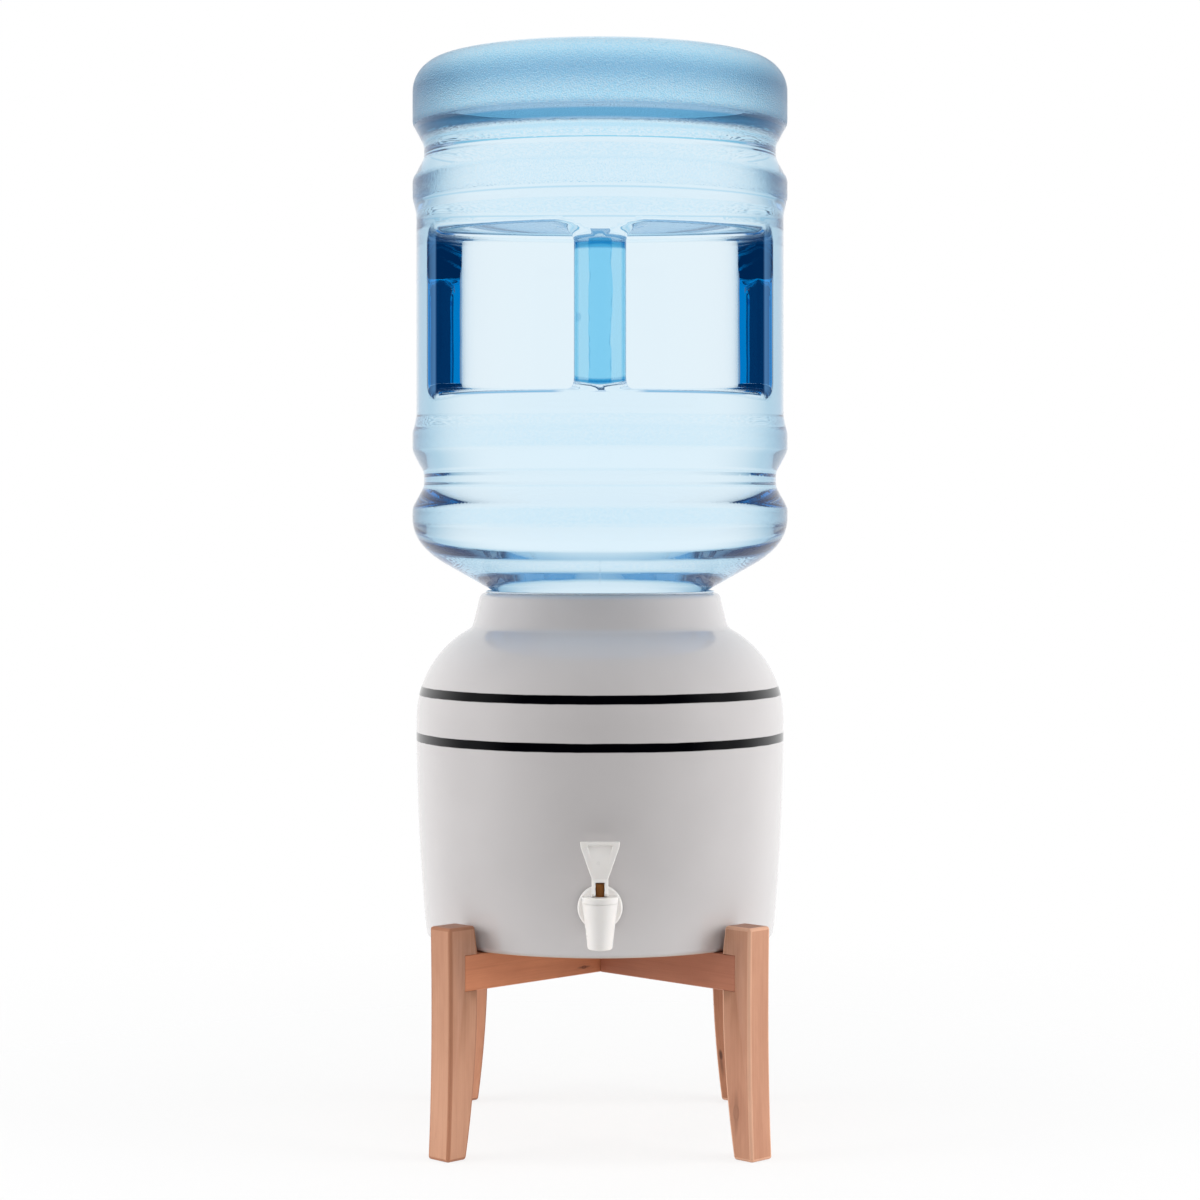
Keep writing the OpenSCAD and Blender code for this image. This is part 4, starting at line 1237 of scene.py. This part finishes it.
class BottleOperator(bpy.types.Operator):
    """Shapes the bottle full of water, with its bands, its hand recess and its grip bar"""
    bl_idname = "dispenser.bottle"
    bl_label = "Bottle"

    def execute(self, context):
        bottle = context.scene.dispenser_bottle
        self.size = bottle
        self.tall = BOTTLE_HIGH.z - BOTTLE_LOW.z
        self.band_r = bottle.body_r + bottle.band_rise
        self.cone_r = self.band_r - bottle.shoulder_run
        self.cone_z = bottle.neck_len + (self.cone_r - bottle.neck_r) * math.tan(bottle.cone)
        self.band_z = self.cone_z + bottle.shoulder_h
        self.low_groove = self.band_z + bottle.first_band_h + bottle.groove_run
        self.low_band = self.low_groove + bottle.groove_run
        self.body_z = self.low_band + bottle.band_h + bottle.step_run
        self.middle = self.body_z + bottle.body_h / 2 - bottle.recess_low
        self.high_band = self.body_z + bottle.body_h + bottle.step_run
        self.high_groove = self.high_band + bottle.band_h + bottle.groove_run
        mesh = field_mesh("bottle.look", self.field, BOTTLE_LOW, BOTTLE_HIGH, bottle.mesh_step)
        grip_y = AXIS_Y - bottle.body_r + bottle.grip_inset + bottle.grip_r
        plastic = bottle_plastic(bottle, *self.marks(), grip_y, BOTTLE_LOW.z + self.middle)
        add_piece(mesh, "bottle", "bottle_plastic", plastic, "bottle")
        return {"FINISHED"}

    def marks(self):
        """Heights between which the wall is pebbled, deeper in colour or lined, with each range's share."""
        size = self.size
        # The first band, the bands below and above the body, and the heel
        frosted = [(self.band_z - 0.004, self.band_z + size.first_band_h + 0.002, 0.35),
                   (self.low_band - 0.001, self.low_band + size.band_h + 0.003, 0.3),
                   (self.high_band - 0.003, self.high_band + size.band_h + 0.004, 0.5),
                   (self.high_groove + size.groove_half - 0.002, self.tall - 0.002, 1.0)]
        # The cone, thick and with painted depth of colour, and the heel's rounding, painted refraction
        thick = [(size.neck_len, self.cone_z + 0.003, 0.12), (self.tall - 0.031, self.tall - 0.013, 0.5)]
        # The ring under the heel, painted refraction, and a fine line above the body
        lines = [(self.high_groove + 0.0093, self.high_groove + 0.0155, 1.0),
                 (self.high_band - 0.0058, self.high_band - 0.0050, 0.9)]
        return [[(BOTTLE_LOW.z + low, BOTTLE_LOW.z + high, share) for low, high, share in ranges]
                for ranges in (frosted, thick, lines)]

    def radius(self, h):
        """Radius of the bottle at a height above the end of its neck."""
        size = self.size
        slope = math.tan(size.cone)
        neck_low = size.neck_len - size.neck_round
        neck_high = size.neck_len + size.neck_round * slope
        lip = size.neck_r + size.lip_rise * (1 - ease((h - size.lip_h) / size.lip_rise))
        neck = blend_radius(h, (size.neck_r, neck_low), (size.neck_r, size.neck_len),
                            (size.neck_r + size.neck_round, neck_high))
        cone = size.neck_r + (h - size.neck_len) / slope
        shoulder = blend_radius(h, (self.cone_r, self.cone_z),
                                (self.band_r, self.cone_z + size.shoulder_run * slope),
                                (self.band_r, self.band_z))
        dips = 0.0
        for middle in (self.low_groove, self.high_groove):
            reach = (size.groove_half - numpy.abs(h - middle)) / size.groove_slope
            dips = dips + ramp(reach, size.groove_soft)
        up = h - self.body_z
        waist = ramp(up / size.step_run + 1) - ramp((up - size.body_h) / size.step_run)
        upper = self.band_r - dips * (size.band_rise + size.groove_d) - waist * size.band_rise
        starts = [h < neck_low, h < neck_high, h < self.cone_z, h < self.band_z]
        return numpy.select(starts, [lip, neck, cone, shoulder], upper)

    def body(self, r, h):
        """The turned body, from the rim of the neck to the dished end."""
        size = self.size
        reach = 0.0004
        slope = (self.radius(h + reach) - self.radius(h - reach)) / (2 * reach)
        side = (r - self.radius(h)) / numpy.sqrt(1 + slope ** 2)
        end = h - self.tall + size.dish_d * ease((size.dish_r - r) / size.dish_run)
        shape = both(both(side, end, size.heel_round), -h, size.lip_edge)
        return without(shape, numpy.maximum(r - size.bore_r, h - size.bore_d), size.bore_edge)

    def field(self, x, y, z):
        """The whole bottle in the model's own frame."""
        size = self.size
        y = y - AXIS_Y
        h = z - BOTTLE_LOW.z
        plain = self.body(numpy.hypot(x, y), h)
        back = y + size.body_r - size.recess_d
        rise = size.ceiling_rise * (x / size.body_r) ** 2
        rise = rise + size.ceiling_slope * numpy.clip(-back / size.recess_d, 0, 1)
        ceiling = h - self.middle - size.recess_h / 2 - rise
        floor = self.middle - size.recess_h / 2 - h
        recess = both(back, numpy.maximum(ceiling, floor), size.recess_fillet)
        aside = ease((numpy.abs(x) - size.edge_from) / size.edge_run)
        hollowed = without(plain, recess, size.edge_front + (size.edge_side - size.edge_front) * aside)
        near = numpy.clip(1 + numpy.maximum(ceiling, floor) / size.spread_h, 0, 1) ** 2
        wide = 1 + near * size.grip_spread / size.grip_r
        grip = numpy.hypot(x / wide, y + size.body_r - size.grip_inset - size.grip_r) - size.grip_r
        grip = numpy.maximum(grip, numpy.abs(h - self.middle) - size.recess_h / 2 - size.recess_fillet)
        down = ease((self.middle - h) / size.recess_h + 0.5)
        flare = size.grip_flare + (size.grip_foot - size.grip_flare) * down
        return numpy.maximum(either(hollowed, grip, flare), plain)


class TapOperator(bpy.types.Operator):
    """Shapes the tap's body, its bonnet and the lever"""
    bl_idname = "dispenser.tap"
    bl_label = "Tap"

    def execute(self, context):
        size = context.scene.dispenser_tap
        self.size = size
        self.seat = BONNET_HIGH.z - size.bonnet_t
        plastic = moulded("Tap plastic", size.plastic, mottle=0.06, grain=900.0, gloss=0.26, dullness=0.36,
                          depth=0.00001, Subsurface_Weight=0.15, Subsurface_Radius=(0.004, 0.0035, 0.003),
                          Subsurface_Scale=1.0)
        mesh = field_mesh("tap_body.look", self.body_field, TAP_LOW, TAP_HIGH, size.body_step)
        add_piece(mesh, "crock", "tap_plastic", plastic, "tap_body")
        mesh = turned_piece("tap_bonnet.look", self.bonnet_profile(), 96, BARREL_Y, plastic)
        add_piece(mesh, "crock", "tap_plastic", plastic, "tap_bonnet")
        low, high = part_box("tap_lever")
        mesh = field_mesh("tap_lever.look", self.lever_field, low, high, size.lever_step)
        add_piece(mesh, "lever", "tap_plastic", plastic, "tap_lever")
        return {"FINISHED"}

    def barrel_r(self, z):
        """Radius of the barrel at a height above the spout's lip."""
        tall = BONNET_HIGH.z - TAP_LOW.z
        return self.size.spout_r + (self.size.barrel_top - self.size.spout_r) * z / tall

    def body_field(self, x, y, z):
        """The tap's body: barrel, flange and threaded shank, less the way of the water."""
        size = self.size
        y = y - BARREL_Y
        up = z - SHANK_Z
        post = numpy.hypot(x, y)
        pipe = numpy.hypot(x, up)
        barrel = both(post - self.barrel_r(z - TAP_LOW.z), TAP_LOW.z - z, size.lip_round)
        barrel = both(barrel, z - self.seat, size.bonnet_room)
        turn = numpy.arctan2(up, x) / math.tau
        thread = size.thread_d * (1 + numpy.cos(math.tau * (y / size.thread_pitch - turn))) / 2
        cut = thread * ease((y - size.flange_y - size.thread_start) / size.thread_fade)
        end = TAP_HIGH.y - BARREL_Y
        shank = both(pipe - size.shank_r + cut, numpy.abs(y - end / 2) - end / 2, size.bore_edge)
        plate = numpy.abs(y - size.flange_y + size.flange_t / 2) - size.flange_t / 2
        flange = both(pipe - size.flange_r, plate, size.flange_edge)
        shape = either(either(barrel, shank, size.shank_blend), flange, size.flange_blend)
        shape = numpy.minimum(numpy.maximum(shape, y - size.flange_y), shank)
        cap = numpy.maximum(post - size.barrel_top - size.bonnet_room, self.seat - z)
        shape = without(shape, cap, size.bonnet_cut)
        spout = numpy.maximum(post - size.spout_bore, z - SHANK_Z)
        chamber = numpy.maximum(post - size.chamber_r, SHANK_Z - size.seat_drop - z)
        way = numpy.maximum(pipe - size.shank_bore, -y)
        for hole in (spout, chamber, way):
            shape = without(shape, hole, size.bore_edge)
        return shape

    def bonnet_profile(self):
        """The bonnet's profile: a plug in the barrel under a lid with the stem's hole."""
        size = self.size
        low, high, seat = BONNET_LOW.z, BONNET_HIGH.z, self.seat
        edge = size.bonnet_edge
        plug = [(size.plug_in, seat), (size.plug_in, low), (size.plug_r, low), (size.plug_r, seat)]
        top = arc((size.barrel_top - edge, high - edge), edge, 0, 90, 8)
        hole = [(size.stem_hole + size.hole_edge, high), (size.stem_hole, high - size.hole_edge),
                (size.stem_hole, seat), (size.plug_in, seat)]
        return plug + [(self.barrel_r(seat - TAP_LOW.z), seat)] + top + hole

    def cam_point(self, turn):
        """Point of the cam's involute, distance behind the pin and height above it."""
        size = self.size
        rise = size.cam_h + size.cam_rate * turn
        return (-rise * math.sin(turn) - size.cam_rate * math.cos(turn),
                -rise * math.cos(turn) + size.cam_rate * math.sin(turn))

    def lever_field(self, x, y, z):
        """The lever: its side and its front outline, less the thumb scoop, the slot and the pin's hole."""
        size = self.size
        y = y - BARREL_Y
        up = z - PIN_Z
        half = size.blade_t / 2
        side = [(size.foot_back, -size.cam_h)]
        side += [self.cam_point(size.tilt * i / 10) for i in range(11)]
        side += [(-half - size.fork_front, size.blade_z - size.fork_drop), (-half, size.blade_z),
                 (-half, size.lever_h), (size.tip_t - half, size.lever_h), (half, size.blade_z),
                 (size.fork_back, 0.0)]
        fork, tip = size.fork_w / 2, size.lever_top / 2
        ear = size.lever_h - size.ear_h
        front = [(-fork, -size.fork_low), (fork, -size.fork_low), (fork, size.blade_z),
                 (tip - size.ear_lean, ear), (tip, size.lever_h), (-tip, size.lever_h),
                 (size.ear_lean - tip, ear), (-fork, size.blade_z)]
        blank = both(outline_distance(side, y, up), outline_distance(front, x, up), size.lever_edge)
        border = size.scoop_border
        corner = tip - size.scoop_corner * border
        panel = [(-fork + border, size.blade_z), (fork - border, size.blade_z),
                 (corner, size.lever_h - border), (-corner, size.lever_h - border)]
        lean = (half + size.scoop_d) / (size.lever_h - size.blade_z)
        floor = (y + 2 * half - lean * (up - size.blade_z)) / math.sqrt(1 + lean * lean)
        scoop = both(outline_distance(panel, x, up), floor, size.scoop_round)
        slot = numpy.maximum(numpy.abs(x) - size.slot_w / 2, up - size.slot_top)
        hole = numpy.hypot(y, up) - size.pin_hole
        shape = without(blank, scoop, size.scoop_edge)
        shape = without(shape, slot, size.slot_edge)
        return without(shape, hole, size.pin_edge)


class ValveOperator(bpy.types.Operator):
    """Winds the closing spring, and paints the stem, the cup, the pin, the seals, the washers and the nut"""
    bl_idname = "dispenser.valve"
    bl_label = "Valve and seals"

    def execute(self, context):
        size = context.scene.dispenser_tap
        gasket = context.scene.dispenser_crock.gasket
        steel = moulded("Bright steel", size.steel, mottle=0.15, grain=1500.0, gloss=0.22, dullness=0.34,
                        depth=0.000004, Metallic=1.0)
        stem = moulded("Stem plastic", size.stem, mottle=0.25, grain=900.0, gloss=0.35, dullness=0.5,
                       depth=0.00001)
        rubber = moulded("Black rubber", size.rubber, mottle=0.2, grain=700.0, gloss=0.55, dullness=0.75,
                         depth=0.00002)
        soft = moulded("Valve silicone", gasket, mottle=0.1, grain=500.0, gloss=0.4, dullness=0.5,
                       depth=0.00002)
        nut = moulded("Nut plastic", size.plastic, mottle=0.08, grain=800.0, gloss=0.35, dullness=0.45,
                      depth=0.00001)
        self.spring(size, steel)
        paints = {"valve_stem": stem, "lever_pin": steel, "seat_cup": soft, "bonnet_seal": rubber,
                  "stem_seal": rubber, "outer_washer": rubber, "inner_washer": rubber, "shank_nut": nut}
        for name, material in paints.items():
            repaint(name, material)
        return {"FINISHED"}

    def spring(self, size, steel):
        """The closing spring, which shortens as the valve lifts."""
        low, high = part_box("valve_spring")
        tree = spring_tree()
        values = {"Turns": float(size.spring_turns), "Coil Radius": size.spring_r, "Wire Radius": size.wire_r,
                  "Height": high.z - low.z - 2 * size.wire_r, "Foot": (0, BARREL_Y, low.z + size.wire_r),
                  "Material": steel}
        start = bpy.data.meshes.new("spring start")
        mesh = evaluated_mesh("valve_spring.look", start, lambda source: nodes_modifier(source, tree, values))
        face_outwards(mesh)
        piece = add_piece(mesh, "crock", "steel", steel, "valve_spring")
        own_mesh(piece)


class DispenserPanel(bpy.types.Panel):
    """Lists the dispenser's pieces and their sizes"""
    bl_idname = "VIEW3D_PT_dispenser"
    bl_label = "Water Dispenser"
    bl_space_type = "VIEW_3D"
    bl_region_type = "UI"
    bl_category = "Dispenser"

    def draw(self, context):
        for operator in OPERATORS:
            self.layout.operator(operator.bl_idname)
        for name, group in GROUPS.items():
            box = self.layout.box()
            box.label(text=group.__doc__)
            for key in group.__annotations__:
                box.prop(getattr(context.scene, name), key)


GROUPS = {"dispenser_stand": StandSizes, "dispenser_crock": CrockSizes, "dispenser_bottle": BottleSizes,
          "dispenser_tap": TapSizes, "dispenser_stage": StageSizes}
OPERATORS = (StageOperator, StandOperator, CrockOperator, BottleOperator, TapOperator, ValveOperator)
CLASSES = tuple(GROUPS.values()) + OPERATORS + (DispenserPanel,)


def register():
    for item in CLASSES:
        bpy.utils.register_class(item)
    for name, group in GROUPS.items():
        setattr(bpy.types.Scene, name, PointerProperty(type=group))


def unregister():
    for name in GROUPS:
        delattr(bpy.types.Scene, name)
    for item in reversed(CLASSES):
        bpy.utils.unregister_class(item)


def main():
    register()
    for operator in OPERATORS:
        getattr(bpy.ops.dispenser, operator.bl_idname.split(".")[1])()


if __name__ == "__main__":
    main()
